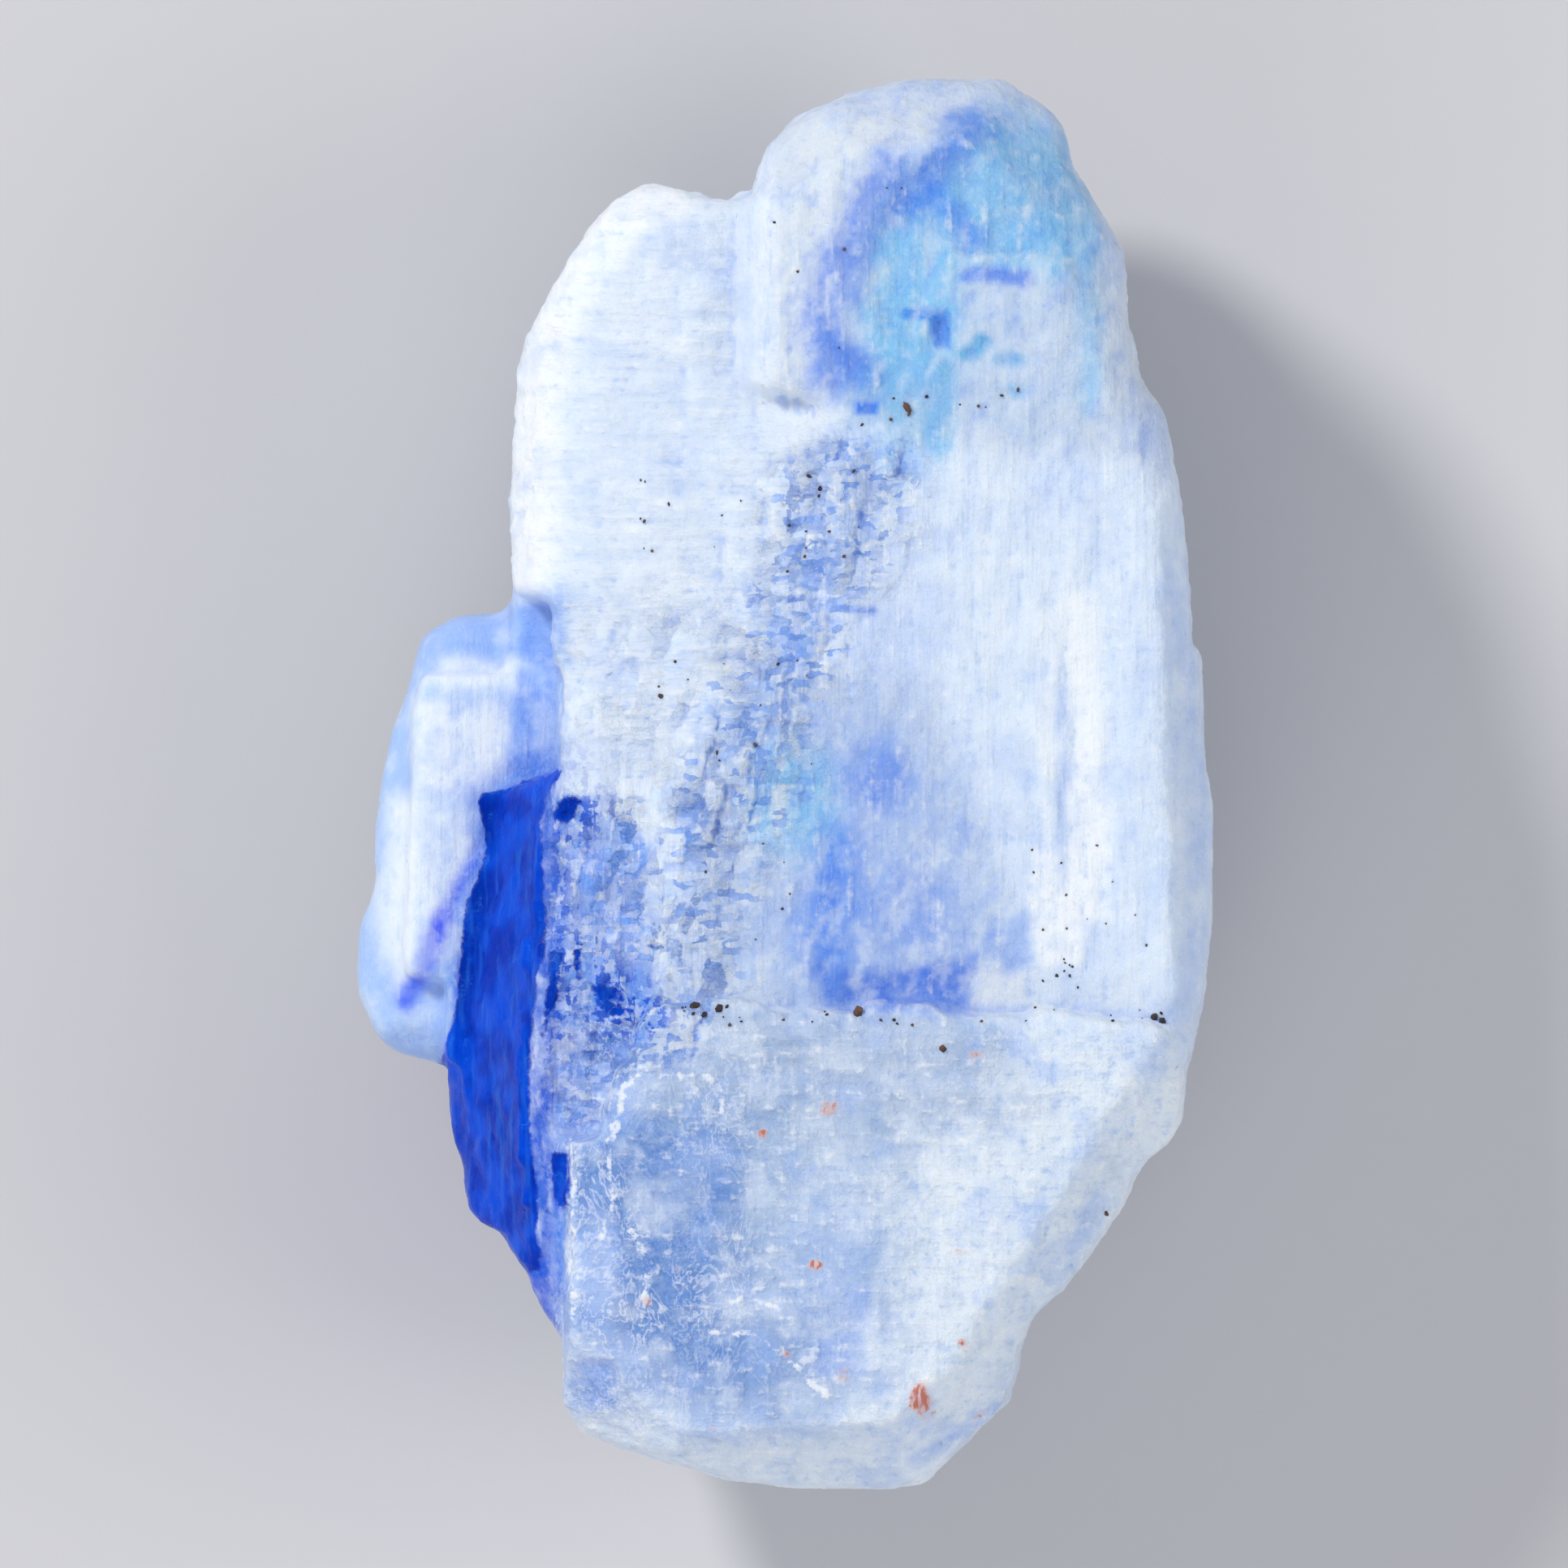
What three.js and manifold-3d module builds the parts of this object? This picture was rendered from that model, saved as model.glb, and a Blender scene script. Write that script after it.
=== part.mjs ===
// Halite crystal cluster: one lump of blue rock salt, grown together from several
// crystals, then broken along its cube cleavage and rounded by damp. It lies on its back,
// on a flat cleavage face.
// Units are millimetres. +X is to the right and +Y to the crown end of the lump, seen from
// above. +Z is up. The origin is on the resting plane, below the middle of the lump.

import * as THREE from "three";
import { mergeVertices } from "three/addons/utils/BufferGeometryUtils.js";
import Module from "manifold-3d";

// Driving dimensions
const LENGTH = 52;
const WIDTH = 31.6;
const HEIGHT = 20.6;

// Heights of the front faces above the resting plane
const MAIN_TOP = HEIGHT - 0.9;
const SLAB_TOP = HEIGHT - 3.0;
const WING_TOP = HEIGHT - 3.5;
const LOBE_TOP = HEIGHT - 8.4;

// The cube cleavage of the whole lump is turned this far from X and Y, in degrees.
const LATTICE_TURN = -1.5;

// The broken stairs run down the front between these two points, and are this wide.
const STAIRS_FROM = [3.2, 13.6];
const STAIRS_TO = [-4.6, -8.6];
const STAIRS_WIDTH = 4.4;
const STAIR_COUNT = 120;

// Flakes that cleavage has broken out of the side walls
const WALL_FLAKES = 40;

const right = WIDTH / 2;
const crown = LENGTH / 2;

// The widest line of the whole lump, seen from above and simplified
const WAIST = [
  [5.0, 25.9],
  [8.3, 25.6],
  [10.4, 23.4],
  [12.4, 19.6],
  [13.0, 15.6],
  [14.3, 12.6],
  [15.0, 6.0],
  [15.7, -1.2],
  [15.6, -6.0],
  [14.6, -12.2],
  [12.0, -16.0],
  [9.0, -19.8],
  [8.2, -22.6],
  [4.4, -25.9],
  [0.3, -25.9],
  [-4.6, -24.8],
  [-8.0, -22.8],
  [-8.1, -20.6],
  [-10.2, -16.8],
  [-11.8, -14.4],
  [-12.3, -10.6],
  [-15.0, -9.4],
  [-15.7, -6.6],
  [-15.1, -3.2],
  [-15.1, -0.6],
  [-13.6, 4.6],
  [-10.1, 6.6],
  [-10.0, 12.3],
  [-9.5, 16.2],
  [-7.4, 20.0],
  [-5.2, 22.0],
  [-1.2, 21.6],
  [0.4, 24.4],
];

const wasm = await Module();
wasm.setup();

// The solid that a closed surface bounds.
function solid(geometry) {
  const bare = geometry.clone();
  bare.deleteAttribute("normal");
  bare.deleteAttribute("uv");
  const merged = mergeVertices(bare, 1e-4);
  return new wasm.Manifold(
    new wasm.Mesh({
      numProp: 3,
      vertProperties: merged.attributes.position.array,
      triVerts: new Uint32Array(merged.index.array),
    }),
  );
}

// A repeatable stream of numbers from 0 to 1.
function dice(seed) {
  let state = seed;
  return () => {
    state = (state * 1664525 + 1013904223) % 4294967296;
    return state / 4294967296;
  };
}

// A crystal plate: its outline, drawn in to a share of its size at each level.
// levels holds [height, share of the width, share of the length] from the back to the front.
function plate(outline, levels, middle) {
  const points = outline.map(([x, y]) => new THREE.Vector2(x - middle[0], y - middle[1]));
  const steps = levels.length - 1;
  const geometry = new THREE.ExtrudeGeometry(new THREE.Shape(points), {
    depth: steps,
    steps,
    bevelEnabled: false,
  });
  const place = geometry.attributes.position;
  for (let i = 0; i < place.count; i++) {
    const [height, wide, long] = levels[Math.round(place.getZ(i))];
    const x = middle[0] + place.getX(i) * wide;
    const y = middle[1] + place.getY(i) * long;
    place.setXYZ(i, x, y, height);
  }
  return solid(geometry);
}

// A straight-walled prism between two heights, for hollows and low raised patches.
function prism(outline, from, to) {
  const shape = new THREE.Shape(outline.map(([x, y]) => new THREE.Vector2(x, y)));
  const geometry = new THREE.ExtrudeGeometry(shape, { depth: to - from, bevelEnabled: false });
  geometry.translate(0, 0, from);
  return solid(geometry);
}

// A block along the cleavage. at is the middle of its front face. tilt leans it in degrees.
function block(at, size, tilt = [0, 0]) {
  const geometry = new THREE.BoxGeometry(...size);
  geometry.translate(0, 0, -size[2] / 2);
  geometry.rotateX(THREE.MathUtils.degToRad(tilt[0]));
  geometry.rotateY(THREE.MathUtils.degToRad(tilt[1]));
  geometry.rotateZ(THREE.MathUtils.degToRad(LATTICE_TURN));
  geometry.translate(...at);
  return solid(geometry);
}

// A body cut back to flat facets, each given by a point on it and the way it faces.
function faceted(body, facets) {
  const reach = 2 * LENGTH;
  return facets.reduce((rest, [point, outward]) => {
    const geometry = new THREE.BoxGeometry(reach, reach, reach);
    geometry.translate(0, 0, reach / 2);
    const facing = new THREE.Vector3(...outward).normalize();
    const turn = new THREE.Quaternion();
    turn.setFromUnitVectors(new THREE.Vector3(0, 0, 1), facing);
    geometry.applyQuaternion(turn);
    geometry.translate(...point);
    return rest.subtract(solid(geometry));
  }, body);
}

// A shallow dish worn into a front face: its middle, its width and length, and its depth.
function dish(x, y, top, size, depth) {
  const geometry = new THREE.SphereGeometry(1, 12, 10);
  const share = Math.sqrt(5) / 3;
  geometry.rotateX(Math.PI / 2);
  geometry.scale(size[0] / 2 / share, size[1] / 2 / share, 3 * depth);
  geometry.translate(x, y, top + 2 * depth);
  return solid(geometry);
}

// The hidden half of the lump: blocks left standing where the back broke along the cleavage.
// The lowest of them carry the lump.
function back() {
  const blocks = [
    [[3.0, 1.0, 0], [15.6, 30.0]],
    [[6.4, 13.4, 0.7], [10.0, 12.4]],
    [[1.4, 11.0, 1.5], [12.8, 17.0]],
    [[-4.2, 6.0, 2.4], [9.0, 24.0]],
    [[2.2, -15.6, 0.5], [13.4, 11.0]],
    [[-3.0, -12.4, 1.4], [9.2, 15.4]],
    [[1.0, -19.8, 2.2], [11.4, 7.0]],
    [[11.0, 2.6, 1.2], [4.8, 22.0]],
    [[12.2, -2.0, 3.0], [4.4, 17.0]],
    [[-8.4, -5.0, 3.6], [8.0, 16.0]],
    [[-11.4, -1.6, 5.2], [5.0, 11.4]],
    [[6.4, 19.6, 2.6], [9.6, 7.0]],
    [[-3.6, 15.0, 4.0], [8.8, 11.0]],
  ];
  const front = SLAB_TOP - 4;
  const bodies = blocks.map(([[x, y, lift], [wide, long]]) =>
    block([x, y, front], [wide, long, front - lift]),
  );
  const hull = plate(
    WAIST,
    [
      [-1, 0.74, 0.76],
      [3, 0.88, 0.9],
      [7.5, 0.97, 0.975],
      [HEIGHT, 0.98, 0.98],
    ],
    [0.4, 0],
  );
  return bodies.reduce((whole, body) => whole.add(body)).intersect(hull);
}

// The tall crystal on the right, with the crown at its far end.
function mainCrystal() {
  const outline = [
    [-1.8, 21.2],
    [-1.0, 22.0],
    [-0.7, 23.3],
    [0.4, 24.5],
    [1.6, 25.1],
    [2.8, 25.7],
    [5.0, crown],
    [6.4, 25.9],
    [8.2, 25.9],
    [8.6, 25.5],
    [9.5, 25.0],
    [10.3, 24.3],
    [10.6, 22.7],
    [11.2, 21.8],
    [12.3, 20.0],
    [12.6, 19.4],
    [12.6, 16.9],
    [13.0, 16.1],
    [13.0, 15.1],
    [14.1, 13.6],
    [14.5, 11.2],
    [14.8, 8.6],
    [15.0, 5.1],
    [15.3, 4.9],
    [15.5, 1.6],
    [right, -1.2],
    [right, -4.7],
    [15.4, -8.2],
    [14.8, -10.7],
    [14.7, -12.2],
    [13.0, -14.4],
    [9.0, -17.4],
    [-4.6, -15.0],
    [-4.3, -8.0],
    [-2.6, -1.0],
    [-0.5, 4.1],
    [2.0, 10.2],
    [2.3, 13.0],
    [1.4, 13.1],
    [1.3, 14.3],
    [-1.8, 14.6],
  ];
  const body = plate(
    outline,
    [
      [2.2, 0.86, 0.9],
      [5.2, 0.95, 0.96],
      [9.2, 1, 1],
      [15.6, 1, 1],
      [MAIN_TOP, 0.985, 0.985],
    ],
    [6.6, 2],
  );
  const worn = faceted(body, [
    [[14.2, 0, MAIN_TOP - 0.2], [0.8, 0.03, 0.6]],
    [[12.4, 14, MAIN_TOP - 0.3], [0.62, 0.24, 0.74]],
    [[10.6, 19.6, MAIN_TOP - 0.5], [0.5, 0.42, 0.75]],
    [[8.4, 23.2, MAIN_TOP - 0.8], [0.42, 0.66, 0.62]],
    [[4.5, 24.2, MAIN_TOP - 0.8], [-0.04, 0.8, 0.6]],
    [[1.0, 23.0, MAIN_TOP - 0.7], [-0.5, 0.62, 0.6]],
    [[-0.6, 19, MAIN_TOP - 0.2], [-0.82, 0.04, 0.57]],
    [[15.2, 4, 6.0], [0.86, 0.1, -0.5]],
    [[12.6, -11.6, MAIN_TOP - 0.5], [0.62, -0.4, 0.67]],
    [[13.6, -8, 4.0], [0.7, -0.2, -0.68]],
    [[4.6, 25.4, 7.4], [0, 0.84, -0.54]],
    [[9.6, 22.6, 6.0], [0.5, 0.5, -0.7]],
    [[1.2, 22.6, 5.4], [-0.5, 0.6, -0.62]],
  ]);
  const hollow = prism(
    [
      [6.0, 19.6],
      [7.6, 19.4],
      [10.9, 19.3],
      [10.9, 21.0],
      [9.6, 22.6],
      [6.4, 23.4],
      [4.4, 22.4],
      [3.3, 20.2],
      [3.2, 17.4],
      [4.4, 16.2],
      [5.0, 16.5],
      [5.4, 18.0],
    ],
    MAIN_TOP - 0.42,
    MAIN_TOP + 1,
  );
  const pits = [
    block([5.0, 17.28, MAIN_TOP + 1], [1.0, 0.3, 1.9]),
    block([5.7, 16.65, MAIN_TOP + 1], [0.8, 1.3, 2.1]),
    block([6.9, 15.9, MAIN_TOP + 1], [0.7, 0.4, 1.5]),
    block([7.5, 16.2, MAIN_TOP + 1], [0.5, 0.5, 1.4]),
    block([8.3, 15.6, MAIN_TOP + 1], [0.9, 0.4, 1.3]),
    block([8.6, 14.4, MAIN_TOP + 1], [0.5, 0.5, 1.3]),
    block([12.2, 12.8, MAIN_TOP + 1], [2.0, 1.6, 1.35]),
    dish(11.2, 0.6, MAIN_TOP, [2.6, 17], 0.32),
    dish(11.0, 16.4, MAIN_TOP, [1.2, 8], 0.25),
    dish(5.4, 12.2, MAIN_TOP, [1.2, 6], 0.22),
    dish(3.7, 14.0, MAIN_TOP, [0.9, 4], 0.22),
  ];
  return pits.reduce((rest, pit) => rest.subtract(pit), worn.subtract(hollow));
}

// The blunt block at the near end, which stands out in front of the rest at a crisp ledge.
function lowerBlock() {
  const outline = [
    [-5.0, -8.1],
    [-2.6, -8.2],
    [3.0, -8.4],
    [7.0, -8.5],
    [13.4, -8.7],
    [15.2, -9.2],
    [14.8, -10.7],
    [14.7, -12.2],
    [14.1, -13.3],
    [13.3, -13.8],
    [12.8, -14.9],
    [11.5, -17.0],
    [10.4, -18.5],
    [9.2, -19.6],
    [8.7, -20.9],
    [8.6, -21.6],
    [8.2, -22.7],
    [7.3, -23.6],
    [5.2, -25.6],
    [3.9, -crown],
    [0.3, -25.9],
    [-2.1, -25.6],
    [-4.5, -24.9],
    [-6.1, -24.4],
    [-7.4, -23.8],
    [-8.1, -22.9],
    [-8.1, -20.4],
    [-8.0, -13.2],
    [-6.5, -13.0],
    [-6.3, -12.0],
    [-5.4, -10.4],
  ];
  const body = plate(
    outline,
    [
      [3.4, 0.88, 0.9],
      [6.4, 0.97, 0.98],
      [10.0, 1, 1],
      [HEIGHT - 3.2, 1, 1],
      [HEIGHT, 0.99, 0.99],
    ],
    [2, -9.5],
  );
  const worn = faceted(body, [
    [[11.6, -13.2, HEIGHT - 0.3], [0.54, -0.34, 0.77]],
    [[14.0, -9.6, HEIGHT - 0.4], [0.8, -0.1, 0.59]],
    [[7.2, -21.0, HEIGHT - 0.5], [0.52, -0.58, 0.62]],
    [[1.0, -23.9, HEIGHT - 0.4], [0.03, -0.76, 0.65]],
    [[-5.6, -22.9, HEIGHT - 0.5], [-0.5, -0.6, 0.62]],
    [[-7.7, -17, HEIGHT - 0.2], [-0.8, 0, 0.6]],
    [[0.5, -24.9, 7.0], [0, -0.85, -0.52]],
    [[8.0, -20.0, 5.0], [0.6, -0.5, -0.62]],
    [[-6.6, -21.0, 5.4], [-0.6, -0.5, -0.62]],
  ]);
  const hollow = prism(
    [
      [2.2, -18.4],
      [3.1, -18.5],
      [3.0, -21.7],
      [1.2, -21.8],
      [1.2, -20.6],
      [2.1, -20.4],
    ],
    HEIGHT - 0.3,
    HEIGHT + 1,
  );
  const pits = [
    block([-6.7, -21.8, HEIGHT + 1], [1.1, 1.3, 1.5]),
    block([-7.2, -16.4, HEIGHT + 1], [0.9, 2.0, 1.3]),
    block([-6.6, -14.3, HEIGHT + 1], [0.5, 1.2, 1.25]),
  ];
  return pits.reduce((rest, pit) => rest.subtract(pit), worn.subtract(hollow));
}

// The pale slab on the left, with its broad rounded rim.
function slab() {
  const outline = [
    [-8.2, 6.8],
    [-10.0, 6.9],
    [-10.1, 9.5],
    [-10.0, 12.3],
    [-9.8, 15.1],
    [-9.5, 16.4],
    [-8.6, 18.2],
    [-7.4, 20.1],
    [-6.2, 21.6],
    [-5.2, 22.1],
    [-4.5, 22.1],
    [-3.4, 21.7],
    [-2.2, 21.5],
    [-1.3, 21.7],
    [3.0, 21.0],
    [4.0, -12.0],
    [-5.0, -14.0],
    [-6.8, -17.6],
    [-8.6, -17.4],
    [-9.3, -10.0],
    [-8.8, -7.0],
    [-8.5, -3.0],
    [-8.6, -1.0],
    [-8.3, -0.4],
    [-8.3, 2.4],
    [-7.7, 3.3],
    [-7.8, 4.4],
    [-8.4, 4.5],
  ];
  const body = plate(
    outline,
    [
      [5.0, 0.94, 0.94],
      [8.0, 1, 1],
      [SLAB_TOP - 3.0, 1, 1],
      [SLAB_TOP, 0.995, 0.995],
    ],
    [2.5, 3],
  );
  const rounded = faceted(body, [
    [[-7.7, 9, SLAB_TOP - 0.05], [-0.36, 0.03, 0.93]],
    [[-8.7, 9, SLAB_TOP - 0.5], [-0.66, 0.05, 0.75]],
    [[-9.5, 10, SLAB_TOP - 1.5], [-0.9, 0.05, 0.42]],
    [[-7.0, 18.2, SLAB_TOP - 0.1], [-0.38, 0.24, 0.89]],
    [[-7.8, 18.6, SLAB_TOP - 0.6], [-0.68, 0.4, 0.62]],
    [[-4.4, 21.0, SLAB_TOP - 0.3], [-0.1, 0.72, 0.68]],
    [[-8.0, 18, 7.0], [-0.6, 0.3, -0.74]],
  ]);
  const ledges = [
    block([-2.6, 17.2, SLAB_TOP + 0.18], [2.2, 2.6, 2], [1, 2]),
    block([-2.2, 14.2, SLAB_TOP + 0.22], [2.6, 1.5, 2], [2, 3]),
    block([-3.2, 10.6, SLAB_TOP + 0.2], [4.2, 2.0, 2], [-2, 2]),
    block([-5.8, 6.6, SLAB_TOP + 0.16], [3.4, 3.2, 2], [-2, -1]),
    block([-5.0, 2.4, SLAB_TOP + 0.24], [4.6, 2.6, 2], [2, 1]),
    block([-6.9, 1.4, SLAB_TOP + 0.12], [2.4, 3.0, 2], [0, -2]),
    block([-8.0, 5.4, SLAB_TOP - 0.2], [1.0, 2.2, 3]),
  ];
  return ledges.reduce((whole, ledge) => whole.add(ledge), rounded);
}

// The speckled band between the wing and the stairs, pitted where cubes have dropped out.
function bandPits() {
  return [
    block([-6.2, -7.9, SLAB_TOP + 1], [1.9, 1.2, 2.1], [0, 4]),
    block([-6.0, -2.3, SLAB_TOP + 1], [1.7, 2.2, 1.6], [4, 0]),
    block([-7.95, -1.0, SLAB_TOP + 1], [1.1, 1.1, 2.0]),
    block([-7.4, -5.6, SLAB_TOP + 1], [0.7, 0.9, 1.8]),
    block([-8.25, -14.6, SLAB_TOP + 1], [0.7, 2.1, 3.4]),
    block([-8.4, -12.2, SLAB_TOP + 1], [0.5, 1.4, 2.4]),
    block([-8.7, -16.9, SLAB_TOP + 1], [0.6, 2.0, 2.6]),
    block([-7.2, -11.4, SLAB_TOP + 1], [0.6, 0.7, 1.9]),
    block([-5.6, 3.9, SLAB_TOP + 1], [1.3, 0.3, 1.5]),
    block([-6.4, 5.0, SLAB_TOP + 1], [0.8, 0.3, 1.4]),
    block([-6.1, 0.6, SLAB_TOP + 1], [1.1, 0.4, 1.5]),
  ];
}

// The clear lobe, low behind the slab and the blue wing.
function lobe() {
  const outline = [
    [-7.4, 6.7],
    [-9.8, 6.8],
    [-10.6, 6.3],
    [-12.2, 6.2],
    [-13.4, 5.5],
    [-13.8, 4.3],
    [-13.9, 3.5],
    [-14.5, 2.0],
    [-15.0, -0.3],
    [-15.2, -2.2],
    [-15.0, -3.4],
    [-15.1, -4.1],
    [-15.7, -5.1],
    [-right, -6.4],
    [-15.7, -7.9],
    [-15.1, -9.4],
    [-14.0, -10.1],
    [-12.5, -10.4],
    [-7.4, -10.4],
  ];
  const body = plate(
    outline,
    [
      [4.4, 0.9, 0.9],
      [7.0, 1, 1],
      [LOBE_TOP - 2.0, 1, 1],
      [LOBE_TOP, 0.97, 0.98],
    ],
    [-8.5, -2],
  );
  const worn = faceted(body, [
    [[-13.0, 4.6, LOBE_TOP - 0.3], [-0.6, 0.45, 0.66]],
    [[-11.0, 5.6, LOBE_TOP - 0.3], [0, 0.7, 0.7]],
    [[-14.3, -2, LOBE_TOP - 0.3], [-0.7, 0.15, 0.7]],
    [[-14.6, -6.4, LOBE_TOP - 0.5], [-0.75, 0, 0.66]],
    [[-13.6, -9.2, LOBE_TOP - 0.4], [-0.3, -0.7, 0.66]],
    [[-14.0, -8.0, 6.0], [-0.7, -0.3, -0.64]],
  ]);
  const raised = [
    block([-10.9, 4.0, LOBE_TOP + 0.35], [3.2, 1.1, 2]),
    block([-11.9, 1.4, LOBE_TOP + 0.45], [3.6, 3.4, 2]),
    block([-9.2, 2.6, LOBE_TOP + 1.0], [2.0, 5.6, 2]),
    block([-12.6, -2.6, LOBE_TOP + 0.25], [2.2, 3.2, 2]),
  ];
  return raised.reduce((whole, piece) => whole.add(piece), worn);
}

// The deep blue wing, whose face slopes from a ridge down to the lobe.
function wing() {
  const outline = [
    [-7.0, 0.5],
    [-8.3, 0.5],
    [-9.6, 0.0],
    [-11.2, -0.6],
    [-11.3, -2.0],
    [-11.0, -2.5],
    [-11.6, -4.3],
    [-12.0, -6.6],
    [-12.4, -10.5],
    [-12.3, -11.9],
    [-12.3, -13.1],
    [-11.8, -14.2],
    [-11.6, -15.8],
    [-11.2, -16.2],
    [-10.3, -16.6],
    [-10.1, -17.2],
    [-9.5, -17.9],
    [-9.2, -18.7],
    [-8.1, -20.5],
    [-6.0, -20.5],
  ];
  const body = plate(
    outline,
    [
      [4.0, 0.88, 0.94],
      [7.0, 0.98, 0.98],
      [9.0, 1, 1],
      [WING_TOP, 1, 1],
    ],
    [-6, -9],
  );
  return faceted(body, [
    [[-8.9, -4, WING_TOP - 0.1], [-0.83, 0.12, 0.54]],
    [[-9.3, -14, WING_TOP - 0.1], [-0.84, -0.04, 0.54]],
    [[-8.8, -18.6, WING_TOP - 1.0], [-0.6, -0.4, 0.68]],
  ]);
}

// The broken stairs of small cubes, going down from the tall crystal to the slab.
function stairs() {
  const roll = dice(23);
  const chips = [];
  for (let i = 0; i < STAIR_COUNT; i++) {
    const along = (i + roll()) / STAIR_COUNT;
    const away = roll() ** 0.8;
    const x = THREE.MathUtils.lerp(STAIRS_FROM[0], STAIRS_TO[0], along) - away * STAIRS_WIDTH;
    const y = THREE.MathUtils.lerp(STAIRS_FROM[1], STAIRS_TO[1], along) + away * 1.4;
    const height = THREE.MathUtils.lerp(MAIN_TOP - 0.1, SLAB_TOP, away ** 0.75);
    const top = height + (roll() - 0.5) * 0.45;
    const size = [0.5 + roll() ** 2 * 1.7, 0.35 + roll() ** 2 * 1.5, 2.4];
    chips.push(block([x, y, top], size, [(roll() - 0.5) * 12, (roll() - 0.7) * 14]));
  }
  return chips;
}

// Small cubes left standing along the ridge of the wing and the edges of the lower block.
function edgeChips() {
  const roll = dice(41);
  const edges = [
    [[-8.6, -1.6], [-9.2, -8.0], WING_TOP, 10],
    [[-9.3, -8.6], [-9.3, -15.6], WING_TOP, 10],
    [[-7.4, -13.4], [-7.6, -20.6], HEIGHT, 8],
    [[-5.0, -9.2], [-6.6, -12.6], HEIGHT, 6],
    [[-3.6, -8.5], [12.6, -8.9], HEIGHT, 9],
  ];
  const chips = [];
  for (const [from, to, top, count] of edges) {
    for (let i = 0; i < count; i++) {
      const along = (i + roll()) / count;
      const x = THREE.MathUtils.lerp(from[0], to[0], along) + (roll() - 0.5) * 0.5;
      const y = THREE.MathUtils.lerp(from[1], to[1], along) + (roll() - 0.5) * 0.3;
      const size = [0.4 + roll() * 0.7, 0.5 + roll() * 1.3, 1.6];
      chips.push(block([x, y, top - 0.12 + roll() * 0.16], size, [0, (roll() - 0.5) * 10]));
    }
  }
  return chips;
}

// Shallow flat-bottomed hollows that flakes have left in the side walls.
function wallHollows() {
  const roll = dice(5);
  const loop = new THREE.CurvePath();
  WAIST.forEach(([x, y], i) => {
    const [nextX, nextY] = WAIST[(i + 1) % WAIST.length];
    loop.add(new THREE.LineCurve(new THREE.Vector2(x, y), new THREE.Vector2(nextX, nextY)));
  });
  const hollows = [];
  for (let i = 0; i < WALL_FLAKES; i++) {
    const along = (i + roll() * 0.9) / WALL_FLAKES;
    const wall = loop.getPointAt(along);
    const way = loop.getTangentAt(along);
    const out = new THREE.Vector2(-way.y, way.x);
    const sideOn = Math.abs(out.x) > Math.abs(out.y);
    const wide = 2.4 + roll() * 4.6;
    const tall = 1.4 + roll() * 3.6;
    const deep = 3;
    const bite = 0.15 + roll() * 0.4;
    const highest = wall.x < -10.4 ? 9.6 : 14.4;
    const top = THREE.MathUtils.lerp(8.4, highest, roll());
    const reach = deep / 2 - bite;
    const face = sideOn ? [Math.sign(out.x) * reach, 0] : [0, Math.sign(out.y) * reach];
    const size = sideOn ? [deep, wide, tall] : [wide, deep, tall];
    hollows.push(block([wall.x + face[0], wall.y + face[1], top], size));
  }
  return hollows;
}

function cluster() {
  const masses = [back(), mainCrystal(), slab(), lobe(), wing(), ...stairs()];
  const grown = masses.reduce((whole, mass) => whole.add(mass));
  const pitted = bandPits().reduce((rest, pit) => rest.subtract(pit), grown);
  const pieces = [lowerBlock(), ...edgeChips()];
  const whole = pieces.reduce((lump, piece) => lump.add(piece), pitted);
  const flaked = wallHollows().reduce((rest, hollow) => rest.subtract(hollow), whole);
  // A crumb that a hollow has cut free has fallen off.
  const bodies = flaked.decompose();
  return bodies.reduce((most, body) => (body.volume() > most.volume() ? body : most));
}

// The surface that bounds a solid.
function geometryOf(body) {
  const mesh = body.getMesh();
  const geometry = new THREE.BufferGeometry();
  geometry.setAttribute("position", new THREE.BufferAttribute(mesh.vertProperties, 3));
  geometry.setIndex(new THREE.BufferAttribute(mesh.triVerts, 1));
  const flat = geometry.toNonIndexed();
  flat.computeVertexNormals();
  return flat;
}

const halite = new THREE.MeshStandardMaterial({
  color: 0xdbe8f8,
  roughness: 0.35,
  metalness: 0,
});
const specimen = new THREE.Mesh(geometryOf(cluster()), halite);
specimen.name = "halite_cluster";

const part = new THREE.Group();
part.add(specimen);

export default part;
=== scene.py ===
"""Looks of the halite crystal cluster: a lump of blue rock salt lying on its back.

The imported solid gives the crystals, ledges and broken stairs. This script gives the same lump
a fine worn skin, the colours of its zones, its veils and cracks, and the dust on it. Sizes are
in millimetres in the dataclasses, and are turned to metres where meshes are made.
"""

from __future__ import annotations

import logging
import math
from dataclasses import dataclass, field
from enum import Enum
from typing import ClassVar

import bmesh
import bpy
import numpy as np
from mathutils import Euler, Matrix, Vector
from mathutils.bvhtree import BVHTree


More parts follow.
